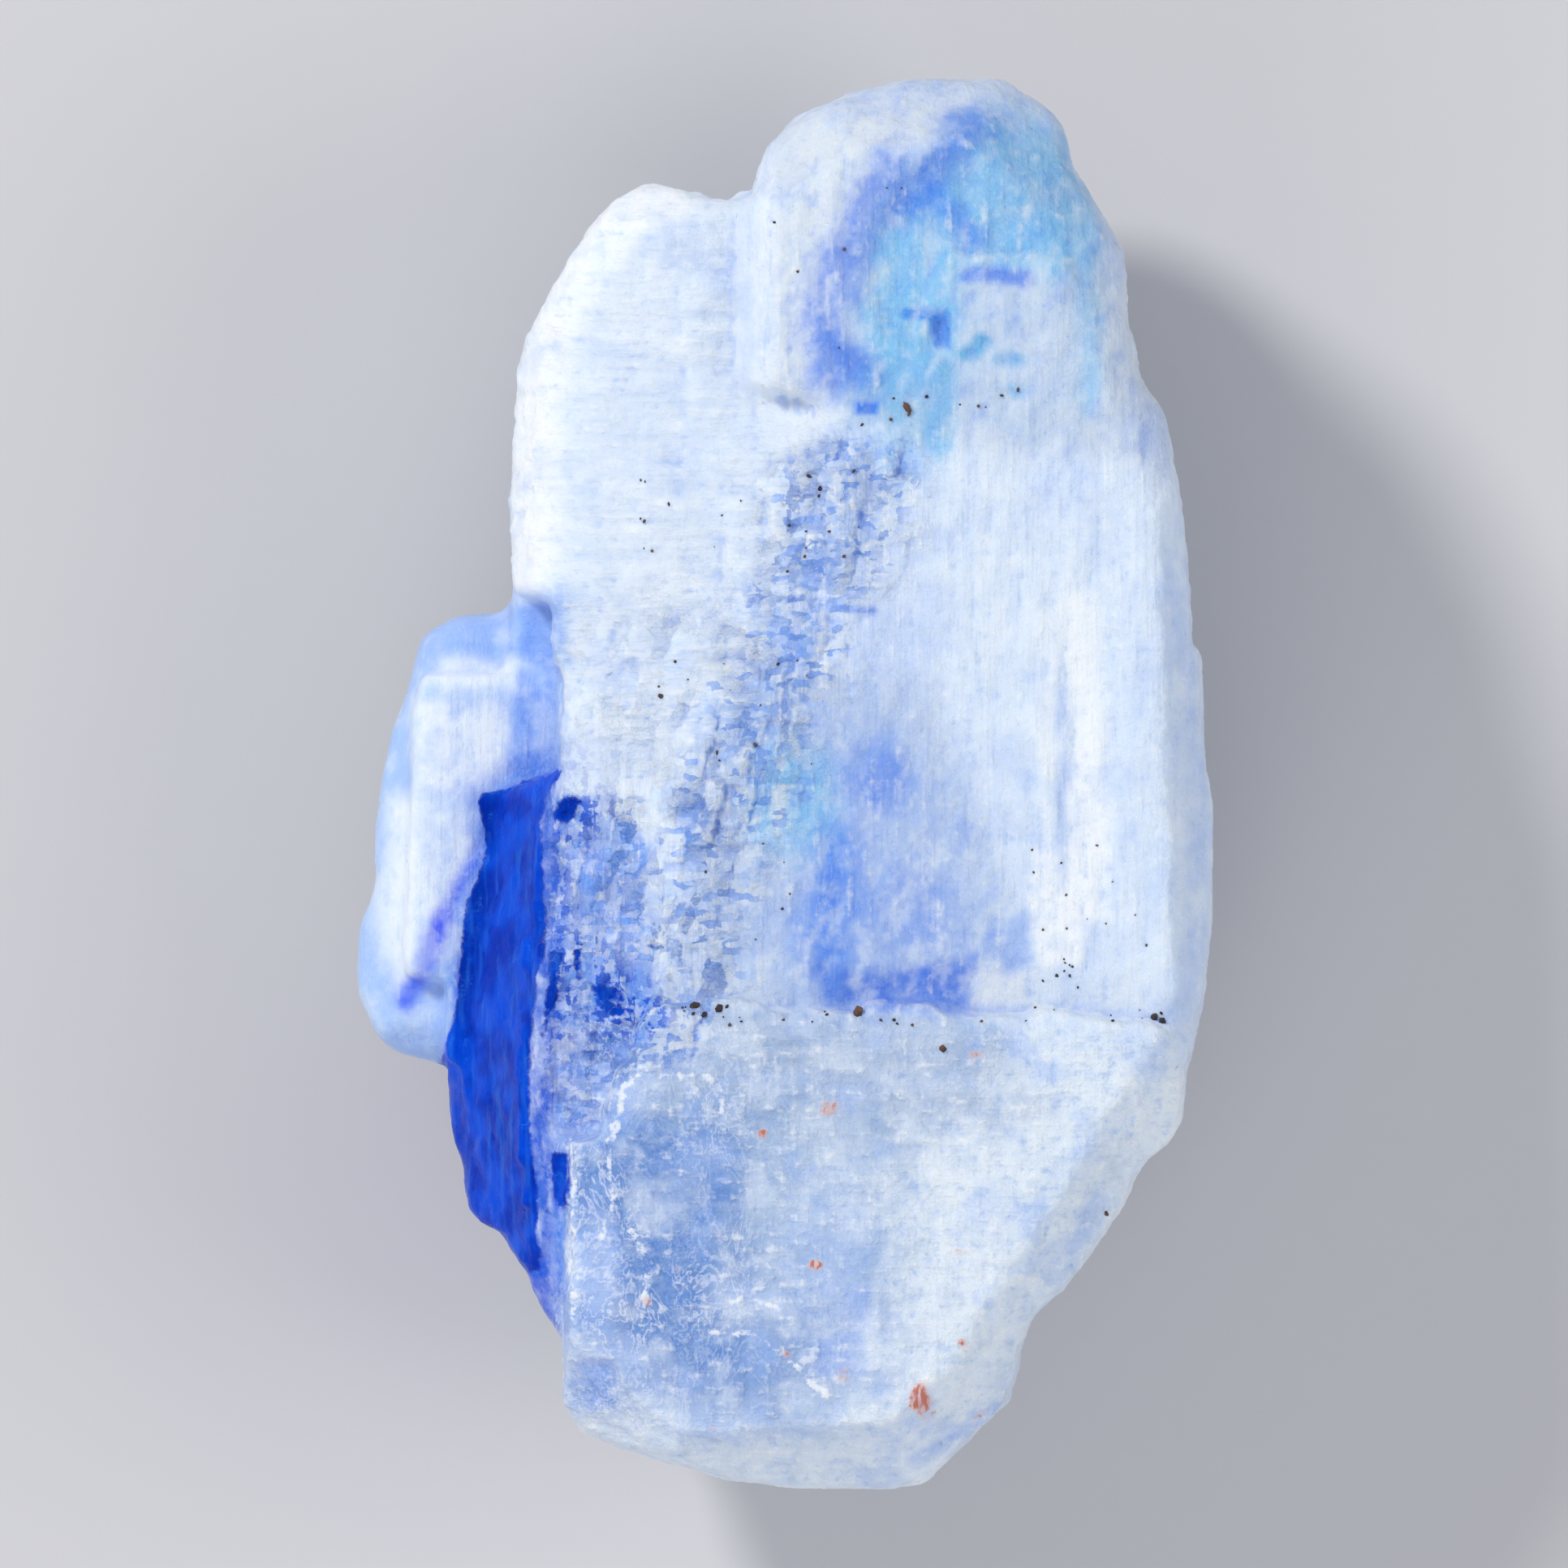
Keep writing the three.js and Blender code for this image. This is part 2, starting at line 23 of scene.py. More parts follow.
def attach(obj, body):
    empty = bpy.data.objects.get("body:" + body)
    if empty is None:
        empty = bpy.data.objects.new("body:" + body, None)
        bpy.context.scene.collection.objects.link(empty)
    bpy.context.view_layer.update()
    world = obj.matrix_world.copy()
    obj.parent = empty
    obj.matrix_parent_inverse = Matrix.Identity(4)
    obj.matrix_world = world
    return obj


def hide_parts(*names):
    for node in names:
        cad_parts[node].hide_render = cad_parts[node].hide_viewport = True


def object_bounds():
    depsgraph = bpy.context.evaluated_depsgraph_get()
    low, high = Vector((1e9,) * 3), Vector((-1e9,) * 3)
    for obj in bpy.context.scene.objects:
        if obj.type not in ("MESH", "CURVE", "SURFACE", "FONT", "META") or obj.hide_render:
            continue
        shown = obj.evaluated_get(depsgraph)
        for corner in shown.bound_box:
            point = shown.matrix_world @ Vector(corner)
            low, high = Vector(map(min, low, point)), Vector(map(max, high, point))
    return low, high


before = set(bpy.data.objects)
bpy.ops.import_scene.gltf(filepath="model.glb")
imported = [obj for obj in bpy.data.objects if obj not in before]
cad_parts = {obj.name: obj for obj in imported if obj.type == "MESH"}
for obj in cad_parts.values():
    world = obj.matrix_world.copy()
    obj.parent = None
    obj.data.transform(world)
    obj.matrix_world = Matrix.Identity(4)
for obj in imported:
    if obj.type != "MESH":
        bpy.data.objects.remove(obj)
CAD_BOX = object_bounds()

MM = 0.001
TURN = math.radians(-1.5)
LUMP_NODE = "halite_cluster"

log = logging.getLogger("halite")

Colour = tuple[float, float, float]
Point = tuple[float, float]
Corners = tuple[Point, ...]


def linear(red: int, green: int, blue: int) -> Colour:
    """Turn an 8-bit screen colour to the linear colour that a shader takes.

    Args:
        red: Red, 0 to 255.
        green: Green, 0 to 255.
        blue: Blue, 0 to 255.

    Returns:
        The linear red, green and blue.
    """

    def channel(value: int) -> float:
        share = value / 255.0
        return share / 12.92 if share <= 0.04045 else ((share + 0.055) / 1.055) ** 2.4

    return channel(red), channel(green), channel(blue)


def smooth_step(low: float, high: float, value: np.ndarray) -> np.ndarray:
    """Ease from 0 at low to 1 at high.

    Args:
        low: Where the result is 0.
        high: Where the result is 1.
        value: The values to ease.

    Returns:
        The eased values.
    """
    share = np.clip((value - low) / (high - low), 0.0, 1.0)
    return share * share * (3.0 - 2.0 * share)


class Noise:
    """Seeded gradient noise and brick noise, the same on each run."""

    SIZE = 256

    def __init__(self, seed: int) -> None:
        """Draw the tables of the noise.

        Args:
            seed: The seed of the tables.
        """
        rng = np.random.default_rng(seed)
        self.order = np.concatenate([rng.permutation(self.SIZE)] * 3)
        slopes = rng.normal(size=(self.SIZE, 3))
        self.slopes = slopes / np.linalg.norm(slopes, axis=1)[:, None]
        self.shades = rng.random(self.SIZE)

    def plain(self, points: np.ndarray) -> np.ndarray:
        """Give one octave of noise, about -1 to 1.

        Args:
            points: Points in units of the noise's own cells, one row each.

        Returns:
            One value for each point.
        """
        cell = np.floor(points).astype(int)
        part = points - cell
        ease = part * part * part * (part * (part * 6.0 - 15.0) + 10.0)
        cell &= self.SIZE - 1
        total = np.zeros(len(points))
        for corner in range(8):
            step = np.array([corner & 1, corner >> 1 & 1, corner >> 2 & 1])
            at = cell + step
            key = self.order[self.order[self.order[at[:, 0]] + at[:, 1]] + at[:, 2]]
            reach = (self.slopes[key] * (part - step)).sum(axis=1)
            weight = np.prod(np.where(step, ease, 1.0 - ease), axis=1)
            total += reach * weight
        return total * 1.6

    def fractal(self, points: np.ndarray, octaves: int = 4, gain: float = 0.5) -> np.ndarray:
        """Give several octaves of noise, each finer and weaker.

        Args:
            points: Points in units of the coarsest octave's cells.
            octaves: How many octaves.
            gain: The strength of each octave as a share of the one before.

        Returns:
            One value for each point.
        """
        total = np.zeros(len(points))
        strength = 1.0
        for octave in range(octaves):
            total += strength * self.plain(points * 2.03**octave + 17.3 * octave)
            strength *= gain
        return total

    def bricks(self, along: np.ndarray, across: np.ndarray
               ) -> tuple[np.ndarray, np.ndarray, np.ndarray]:
        """Give each brick of a wall of unit bricks a value of its own.

        Args:
            along: The coordinate along the rows of bricks.
            across: The coordinate across the rows.

        Returns:
            For each point, its brick's value of 0 to 1, and its place along and across the
            brick, -0.5 to 0.5.
        """
        row = np.floor(across).astype(int)
        shifted = along + self.shades[self.order[row & (self.SIZE - 1)]] * 7.0
        column = np.floor(shifted).astype(int)
        key = self.order[column & (self.SIZE - 1)] + (row & (self.SIZE - 1))
        return self.shades[self.order[key]], shifted - column - 0.5, across - row - 0.5


def distance_to_line(at: np.ndarray, line: Corners) -> np.ndarray:
    """Measure how far points are from an open line of straight stretches.

    Args:
        at: Points, one row of X and Y each.
        line: The corners of the line.

    Returns:
        One distance for each point.
    """
    nearest = np.full(len(at), np.inf)
    for start, end in zip(line, line[1:]):
        first = np.array(start)
        way = np.array(end) - first
        share = np.clip(((at - first) @ way) / (way @ way), 0.0, 1.0)
        gap = np.linalg.norm(at - first - share[:, None] * way, axis=1)
        nearest = np.minimum(nearest, gap)
    return nearest


def inside_polygon(at: np.ndarray, corners: Corners) -> np.ndarray:
    """Measure how far inside a closed outline points are, negative outside.

    Args:
        at: Points, one row of X and Y each.
        corners: The corners of the outline.

    Returns:
        One signed distance for each point.
    """
    gap = distance_to_line(at, (*corners, corners[0]))
    odd = np.zeros(len(at), bool)
    for (ax, ay), (bx, by) in zip(corners, [*corners[1:], corners[0]]):
        if ay == by:
            continue
        crosses = (at[:, 1] < ay) != (at[:, 1] < by)
        odd ^= crosses & (at[:, 0] < ax + (at[:, 1] - ay) * (bx - ax) / (by - ay))
    return np.where(odd, gap, -gap)


class Shape(Enum):
    """How a colour zone is bounded, seen from the front."""

    BLOB = "blob"
    LINE = "line"
    AREA = "area"


@dataclass(frozen=True)
class Zone:
    """One colour zone of the crystal, laid over the zones before it.

    Its points are a blob's middle, or the corners of a line or an area. Its reach is a blob's
    two radii, or half a line's width.
    """

    name: str
    shape: Shape
    colour: Colour
    strength: float
    soft: float
    warp: float
    points: Corners
    reach: tuple[float, ...] = ()
    depth: float = 5.0

    TOP: ClassVar[float] = 21.0
    FADE: ClassVar[float] = 2.5

    def cover(self, at: np.ndarray, shift: np.ndarray) -> np.ndarray:
        """Give how much of each point the zone covers.

        Args:
            at: Points in millimetres, one row of X, Y and Z each.
            shift: A noise vector of X and Y for each point, about -1 to 1.

        Returns:
            One share for each point, 0 to 1.
        """
        flat = at[:, :2] + shift * self.warp
        if self.shape is Shape.BLOB:
            share = (flat - np.array(self.points[0])) / np.array(self.reach)
            inward = (1.0 - np.linalg.norm(share, axis=1)) * min(self.reach)
        elif self.shape is Shape.LINE:
            inward = self.reach[0] - distance_to_line(flat, self.points)
        else:
            inward = inside_polygon(flat, self.points)
        foot = self.TOP - self.depth
        fade = smooth_step(foot - self.FADE, foot, at[:, 2])
        return self.strength * smooth_step(-self.soft, self.soft, inward) * fade


@dataclass(frozen=True)
class Palette:
    """The screen colours of the crystal, as it looks in plain white light."""

    face: Colour = linear(216, 229, 245)
    slab: Colour = linear(220, 231, 244)
    rim: Colour = linear(246, 250, 255)
    frost: Colour = linear(236, 244, 252)
    cream: Colour = linear(240, 246, 253)
    lower_left: Colour = linear(106, 144, 208)
    lower_middle: Colour = linear(176, 196, 223)
    lower_top: Colour = linear(146, 168, 200)
    lower_right: Colour = linear(232, 241, 248)
    foot: Colour = linear(228, 238, 250)
    lilac: Colour = linear(158, 188, 242)
    pale_lilac: Colour = linear(188, 207, 243)
    lobe: Colour = linear(170, 200, 247)
    lobe_violet: Colour = linear(122, 162, 238)
    stripe: Colour = linear(10, 66, 240)
    cyan: Colour = linear(134, 196, 238)
    light_cyan: Colour = linear(132, 202, 248)
    teal: Colour = linear(72, 180, 234)
    violet: Colour = linear(76, 134, 236)
    periwinkle: Colour = linear(112, 152, 240)
    azure: Colour = linear(70, 138, 244)
    band: Colour = linear(96, 140, 232)
    pit: Colour = linear(14, 140, 240)
    base_bar: Colour = linear(54, 116, 232)
    cobalt: Colour = linear(3, 74, 214)
    deep_cobalt: Colour = linear(1, 44, 176)
    slate: Colour = linear(110, 154, 232)
    cobalt_chip: Colour = linear(20, 88, 214)
    sliver: Colour = linear(40, 112, 222)
    shade: Colour = linear(158, 188, 234)
    patch: Colour = linear(202, 221, 243)
    rust: Colour = linear(206, 112, 76)
    pale_rust: Colour = linear(226, 190, 178)
    side: Colour = linear(212, 227, 248)
    back: Colour = linear(200, 218, 246)


TINT = Palette()
BLOB, LINE, AREA = Shape.BLOB, Shape.LINE, Shape.AREA
LEDGE = -8.35
ZONES = (
    # The broad ground colours of the crystals.
    Zone("slab ground", AREA, TINT.slab, 1.0, 0.5, 0.5, ((-7.6, 7), (-10.4, 7), (-10.4, 12),
         (-9.8, 17), (-7, 22.5), (-1.2, 22), (-1.6, 15), (2.6, 13.6), (2.0, 9), (-1.6, 2),
         (-4.4, -2), (-6.4, 0), (-8.6, 0), (-8.2, 4))),
    Zone("main ground", AREA, TINT.face, 1.0, 0.5, 0.5, ((-1.4, 21), (0.4, 26), (9, 26.5),
         (14, 20), (16.4, 0), (15.6, -8.7), (-4.6, -8.3), (-2.4, -1), (0.2, 4), (2.6, 10),
         (2.4, 14), (-1.4, 15))),
    Zone("lower ground", AREA, TINT.lower_middle, 1.0, 0.12, 0.05, ((-5.0, -8.3), (7.6, -8.6),
         (9.4, -10.6), (12.6, -12.6), (14, -14), (9, -22), (5, -27), (-9, -25), (-8.4, -13),
         (-6.2, -12.2))),
    Zone("lower left", AREA, TINT.lower_left, 1.0, 1.6, 1.4, ((-5.6, -12), (-1.6, -12.4),
         (-2, -18), (-1, -22), (-8, -23.4), (-8.4, -13))),
    # Painted light: the slanted lower right face is laid paler than its own colour, for the light
    # it misses.
    Zone("lower right", AREA, TINT.lower_right, 0.9, 1.8, 1.5, ((5, -9.6), (16, -9.4),
         (15, -14), (9, -21), (6, -25.4), (2.4, -23), (4, -17))),
    Zone("lower top", AREA, TINT.lower_top, 0.7, 1.2, 1.2, ((-4, -9), (7, -9.2), (9, -12),
         (2, -13), (-4, -11.6))),
    # Painted light: the slanted bottom face is laid paler than its own colour, for the light it
    # misses.
    Zone("foot", LINE, TINT.foot, 0.9, 1.3, 0.8, ((-7, -24.2), (-1, -25.2), (4.6, -25.4)),
         reach=(1.6,)),
    Zone("lower middle blue", BLOB, TINT.lower_left, 0.5, 1.6, 1.2, ((-1.6, -20.4),),
         reach=(5.4, 2.8)),
    Zone("lobe ground", AREA, TINT.lobe, 1.0, 0.3, 0.2, ((-8.2, 7.4), (-14.6, 7), (-17, -5),
         (-16, -11), (-12.4, -11), (-10.4, -1.6), (-8.2, 0.4)), depth=14),
    # Partly painted light: the slab's rounded left rim is laid near white, its own pale colour and
    # a painted highlight for the light that falls off there.
    Zone("slab rim", LINE, TINT.rim, 0.95, 0.7, 0.2, ((-9.3, 7.4), (-9.2, 12), (-8.9, 15.6),
         (-7.8, 18.6), (-6, 20.8), (-4.4, 21.6)), reach=(0.9,), depth=9),
    # The crown.
    Zone("crown frost", AREA, TINT.frost, 0.75, 0.8, 0.6, ((-1, 15), (-1, 22), (1.6, 25),
         (4.2, 25.2), (3.6, 21), (1.8, 18), (1.4, 13.6))),
    Zone("crown edge", LINE, TINT.pale_lilac, 0.55, 0.6, 0.3, ((1.8, 25.0), (5, 25.8),
         (8.4, 25.6), (10.2, 24), (11.2, 21.6), (12.4, 19)), reach=(0.5,)),
    Zone("outer fringe", LINE, TINT.periwinkle, 0.9, 0.9, 0.9, ((3.6, 22.6), (2.9, 21.2),
         (1.9, 19.1), (1.1, 17.2), (1.4, 15.6), (3.0, 14.7)), reach=(0.75,)),
    Zone("light cyan body", AREA, TINT.light_cyan, 0.9, 0.7, 0.5, ((4.6, 22.6), (3.2, 20),
         (2.6, 17.6), (3.2, 14.8), (6.2, 14.2), (7.0, 16.6), (7.4, 19.4), (6.4, 22))),
    Zone("cyan crown", BLOB, TINT.cyan, 0.95, 1.0, 0.6, ((8.3, 21.6),), reach=(3.2, 3.1)),
    Zone("cyan lower right", BLOB, TINT.light_cyan, 0.7, 0.6, 0.5, ((9.6, 19.6),),
         reach=(1.6, 1.3)),
    Zone("violet arc", LINE, TINT.violet, 0.8, 0.8, 0.7, ((7.0, 24.2), (6.4, 23.9), (5.5, 22.8),
         (4.4, 21.4)), reach=(0.7,)),
    Zone("violet left", LINE, TINT.violet, 0.6, 0.6, 0.7, ((4.4, 21.5), (3.2, 20.2),
         (2.4, 18.2)), reach=(0.35,)),
    Zone("violet low", LINE, TINT.violet, 0.75, 0.6, 0.4, ((1.6, 16.8), (2.4, 15.4),
         (3.3, 14.9)), reach=(0.5,)),
    Zone("dark fold", LINE, TINT.azure, 0.75, 0.45, 0.3, ((5.4, 21.8), (6.2, 21.0),
         (7.0, 20.0)), reach=(0.4,)),
    Zone("white patch", AREA, TINT.patch, 0.8, 0.5, 0.6, ((6.4, 18.6), (8.8, 18.9),
         (11.2, 18.4), (11.4, 13.4), (9, 12.4), (6.6, 13.4), (6.2, 16))),
    Zone("below ledge", LINE, TINT.periwinkle, 0.95, 0.2, 0.15, ((6.8, 18.7), (8.0, 18.75),
         (8.9, 18.55)), reach=(0.3,)),
    Zone("ledge line", LINE, TINT.rim, 0.5, 0.16, 0.2, ((7.2, 19.3), (9.0, 19.45),
         (10.9, 19.25)), reach=(0.08,)),
    Zone("cyan band", LINE, TINT.cyan, 0.75, 0.35, 0.25, ((5.7, 15.2), (5.8, 12.6)), reach=(0.6,)),
    Zone("cyan band left", LINE, TINT.cyan, 0.75, 0.25, 0.2, ((4.0, 15.4), (4.1, 13.6)),
         reach=(0.36,)),
    Zone("teal left", BLOB, TINT.teal, 0.8, 0.2, 0.2, ((6.8, 15.9),), reach=(0.5, 0.3)),
    Zone("teal middle", BLOB, TINT.teal, 0.8, 0.2, 0.2, ((7.3, 16.25),), reach=(0.35, 0.35)),
    Zone("teal right", BLOB, TINT.teal, 0.65, 0.2, 0.2, ((8.3, 15.6),), reach=(0.6, 0.22)),
    Zone("teal low", BLOB, TINT.teal, 0.7, 0.18, 0.2, ((8.6, 14.4),), reach=(0.35, 0.25)),
    Zone("pit bar", LINE, TINT.pit, 1.0, 0.1, 0.03, ((4.5, 17.3), (5.9, 17.25)), reach=(0.2,)),
    Zone("pit box", AREA, TINT.pit, 0.9, 0.14, 0.06, ((5.35, 17.2), (6.1, 17.2), (6.1, 16.1),
         (5.6, 16.0))),
    Zone("right strip", LINE, TINT.light_cyan, 0.6, 0.4, 0.25, ((11.1, 20.4), (11.3, 17),
         (11.2, 14)), reach=(0.4,)),
    Zone("right lilac", BLOB, TINT.pale_lilac, 0.75, 0.5, 0.4, ((13.4, 12.8),),
         reach=(0.9, 1.2)),
    Zone("below crown blue", BLOB, TINT.light_cyan, 0.5, 0.9, 0.7, ((4.4, 13.4),),
         reach=(1.8, 2.2)),
    # The middle of the main face, down to the ledge.
    Zone("heart glow", AREA, TINT.lilac, 0.62, 1.7, 1.1, ((-1.6, 2.4), (1.4, 4.4), (4.8, 3.4),
         (6.8, -1.4), (8.4, LEDGE), (0.2, LEDGE), (-2.4, -4.6))),
    Zone("upper haze", BLOB, TINT.pale_lilac, 0.55, 1.4, 1.0, ((2.0, 5.6),), reach=(3.4, 3.0)),
    Zone("heart cyan", BLOB, TINT.light_cyan, 0.85, 0.9, 0.6, ((0.3, -0.6),), reach=(1.7, 2.1)),
    Zone("heart blue high", BLOB, TINT.periwinkle, 0.85, 0.8, 0.5, ((3.4, 0.1),),
         reach=(1.2, 1.2)),
    Zone("heart blue", LINE, TINT.azure, 0.8, 0.85, 0.6, ((2.0, -2.4), (1.8, -4.4),
         (1.6, -5.8)), reach=(1.0,)),
    Zone("heart right", BLOB, TINT.periwinkle, 0.5, 0.9, 0.7, ((4.6, -4.6),), reach=(1.8, 1.6)),
    Zone("heart bar", AREA, TINT.base_bar, 0.85, 0.4, 0.45, ((0.9, -6.5), (3.6, -7.0),
         (7.0, -6.2), (7.0, LEDGE), (1.6, LEDGE))),
    Zone("heart fringe", AREA, TINT.lilac, 0.75, 0.35, 0.5, ((7.0, -5.4), (9.0, -4.6),
         (9.2, -6.6), (7.2, -7.6))),
    Zone("heart left haze", LINE, TINT.pale_lilac, 0.6, 0.8, 0.6, ((-3.2, -3), (-3.6, -7.6)),
         reach=(1.0,)),
    # Painted highlight: a near-white patch on the main face just above the ledge.
    Zone("white patch left", AREA, TINT.rim, 0.7, 0.5, 0.6, ((7.0, -6.7), (8.9, -7.0),
         (8.8, LEDGE), (7.0, LEDGE))),
    Zone("white patch high", AREA, TINT.rim, 0.8, 0.3, 0.4, ((9.2, -2.4), (10.8, -2.0),
         (11.0, -6.8), (9.4, -6.6))),
    Zone("bright streak", LINE, TINT.rim, 0.8, 0.45, 0.3, ((10.9, 6.6), (11.2, 0),
         (11.2, -4.4)), reach=(0.7,)),
    Zone("second streak", LINE, TINT.rim, 0.5, 0.3, 0.3, ((9.6, 6.0), (9.8, 0.4)), reach=(0.3,)),
    Zone("streak shade", LINE, TINT.lilac, 0.5, 0.25, 0.2, ((10.2, 3.4), (10.3, -3.8)),
         reach=(0.18,)),
    Zone("right flank", LINE, TINT.lilac, 0.5, 0.9, 0.9, ((14.7, 8), (15.3, 0), (15.2, -6),
         (14.6, -10)), reach=(0.3,), depth=8),
    Zone("blue bar", LINE, TINT.sliver, 0.8, 0.1, 0.1, ((2.1, 6.45), (3.3, 6.35)), reach=(0.14,)),
    Zone("blue tablet", AREA, TINT.azure, 0.95, 0.08, 0.04, ((2.6, 14.05), (3.5, 14.05),
         (3.5, 13.6), (2.6, 13.6))),
    Zone("sliver left", LINE, TINT.sliver, 0.9, 0.08, 0.08, ((2.4, 11.4), (2.2, 10.0)),
         reach=(0.12,)),
    Zone("sliver right", LINE, TINT.sliver, 0.9, 0.08, 0.08, ((3.2, 11.4), (3.0, 10.4)),
         reach=(0.12,)),
    Zone("stairs blue", LINE, TINT.lilac, 0.8, 0.9, 1.2, ((2.6, 11.8), (0.6, 6.6), (-1.4, 2.0),
         (-3.2, -2.4)), reach=(1.0,)),
    Zone("stairs core", LINE, TINT.slate, 0.75, 0.4, 1.1, ((2.9, 11.2), (1.8, 8.6), (0.9, 6.2),
         (0.4, 3.6), (-0.4, 1.6)), reach=(0.25,)),
    # The wing, the lobe behind it and the speckled band beside it.
    Zone("lobe top", AREA, TINT.lilac, 0.85, 0.6, 0.4, ((-14.2, 6.8), (-8.2, 7), (-8.2, 4.4),
         (-14.2, 4.6)), depth=14),
    Zone("lobe corner", AREA, TINT.lobe_violet, 0.75, 0.5, 0.5, ((-9.8, 6.4), (-8.2, 6.4),
         (-8.2, 0.6), (-10, -0.6), (-10.2, 2)), depth=14),
    Zone("lobe square high", AREA, TINT.cream, 0.85, 0.35, 0.3, ((-12.7, 4.6), (-9.8, 4.6),
         (-9.8, 3.5), (-12.7, 3.4)), depth=14),
    Zone("lobe square low", AREA, TINT.cream, 0.9, 0.4, 0.3, ((-13.8, 3.2), (-10.2, 3.2),
         (-10.0, -0.4), (-13.6, -0.3)), depth=14),
    Zone("lobe middle", AREA, TINT.frost, 0.9, 0.7, 0.4, ((-14.6, -0.4), (-11.0, -0.6),
         (-11.0, -2.6), (-12.4, -5.2), (-14.2, -7.4), (-15.2, -5.4), (-14.9, -3.4)), depth=14),
    Zone("lobe stripe", LINE, TINT.stripe, 1.0, 0.42, 0.05, ((-11.0, -2.2), (-12.3, -4.4),
         (-13.0, -6.0)), reach=(0.22,), depth=14),
    Zone("lobe stripe low", LINE, TINT.stripe, 0.8, 0.34, 0.05, ((-12.6, -5.0), (-13.3, -6.8),
         (-14.0, -8.0)), reach=(0.36,), depth=14),
    Zone("band ground", AREA, TINT.band, 0.85, 0.6, 0.8, ((-8.9, -0.6), (-5.6, -1.0),
         (-4.9, -4), (-4.9, -9), (-6.6, -12.6), (-9.2, -12.6), (-8.8, -6))),
    Zone("trench", AREA, TINT.periwinkle, 0.7, 0.4, 0.4, ((-9.4, -12.4), (-6.2, -12.2),
         (-8.0, -13.4), (-8.05, -20.4), (-8.8, -19.4), (-9.2, -14.6)), depth=9),
    Zone("wing haze", AREA, TINT.sliver, 0.75, 0.7, 0.4, ((-8.2, 1.2), (-9.6, 0.8),
         (-11.6, 0.0), (-11.6, -3.4), (-12.2, -6.6), (-12.6, -9.4), (-11, -12), (-9, -6),
         (-8.4, -2)), depth=18),
    Zone("wing body", AREA, TINT.cobalt, 1.0, 0.2, 0.1, ((-8.3, 0.6), (-11.25, -0.6),
         (-11.0, -2.4), (-11.3, -3.6), (-11.7, -4.4), (-11.8, -5.3), (-12.0, -6.6),
         (-12.2, -8.9), (-12.7, -10.2), (-12.8, -13.2), (-12.4, -16), (-10.6, -17),
         (-9.9, -18.6), (-8.4, -20), (-8.75, -17.4), (-9.2, -14.4), (-9.4, -12.6),
         (-9.35, -9.4), (-9.1, -7.6), (-8.8, -5.4), (-8.85, -3.2), (-9.0, -1.6)), depth=18),
    Zone("wing core", BLOB, TINT.deep_cobalt, 0.8, 0.4, 0.3, ((-9.8, -1.8),), reach=(0.7, 1.2),
         depth=18),
    Zone("wing core middle", BLOB, TINT.deep_cobalt, 0.85, 0.4, 0.3, ((-9.5, -4.9),),
         reach=(0.6, 1.3), depth=18),
    Zone("wing core low", BLOB, TINT.deep_cobalt, 0.6, 0.6, 0.5, ((-10.6, -8.6),),
         reach=(0.9, 1.6), depth=18),
    Zone("wing foot", AREA, TINT.cobalt_chip, 0.55, 1.2, 0.6, ((-12.6, -13.4), (-9.4, -13.4),
         (-8.6, -20), (-12, -18)), depth=18),
    Zone("wing edge", LINE, TINT.lilac, 0.8, 0.2, 0.15, ((-12.35, -11.9), (-12.1, -13.6)),
         reach=(0.28,), depth=18),
    Zone("wing streak", LINE, TINT.sliver, 0.7, 0.2, 0.5, ((-10.2, -2.0), (-9.8, -8.0),
         (-10.0, -14.0)), reach=(0.1,), depth=18),
    Zone("wing ridge", LINE, TINT.lilac, 0.3, 0.14, 0.5, ((-9.05, -1.6), (-8.85, -3.2),
         (-8.78, -5.4), (-9.0, -7.4), (-9.3, -9.2), (-9.4, -12.4), (-9.25, -14.6),
         (-8.8, -17.2)), reach=(0.08,), depth=8),
    Zone("facet high", AREA, TINT.cobalt_chip, 0.95, 0.12, 0.06, ((-8.5, -0.7), (-8.0, -0.45),
         (-7.4, -0.55), (-7.6, -1.2), (-8.1, -1.55), (-8.5, -1.2))),
    Zone("facet middle", AREA, TINT.slate, 0.9, 0.1, 0.2, ((-6.8, -1.2), (-5.5, -1.2),
         (-5.1, -2.4), (-5.4, -3.4), (-6.4, -3.2))),
    Zone("band left", LINE, TINT.cobalt_chip, 0.9, 0.34, 0.6, ((-8.7, -1.4), (-8.5, -5.0),
         (-8.8, -9.0), (-9.0, -12.8), (-8.8, -15.6), (-8.5, -18.4)), reach=(0.5,), depth=18),
    Zone("chips glow", BLOB, TINT.azure, 0.7, 0.6, 0.7, ((-6.4, -8.4),), reach=(1.7, 1.5)),
    Zone("chips left", LINE, TINT.cobalt_chip, 0.85, 0.14, 0.4, ((-8.4, -5.6), (-8.2, -7.4),
         (-8.5, -9.2)), reach=(0.22,)),
    Zone("slot", AREA, TINT.cobalt, 1.0, 0.1, 0.1, ((-8.55, -13.6), (-7.95, -13.6),
         (-7.95, -15.6), (-8.4, -15.6)), depth=9),
    Zone("slot foot", LINE, TINT.azure, 0.6, 0.3, 0.2, ((-8.3, -15.9), (-8.2, -18.4)),
         reach=(0.3,), depth=9),
    # The inside of the lower block.
    Zone("left tint", BLOB, TINT.lilac, 0.85, 0.5, 0.4, ((-7.0, -17.6),), reach=(0.9, 1.9)),
    Zone("left corner", BLOB, TINT.lilac, 0.7, 0.7, 0.5, ((-6.8, -11.6),), reach=(1.4, 1.5)),
    Zone("white band", AREA, TINT.frost, 0.45, 0.7, 1.0, ((-8.0, -20.2), (-4.6, -20.4),
         (-4.4, -21.6), (-8.0, -21.4))),
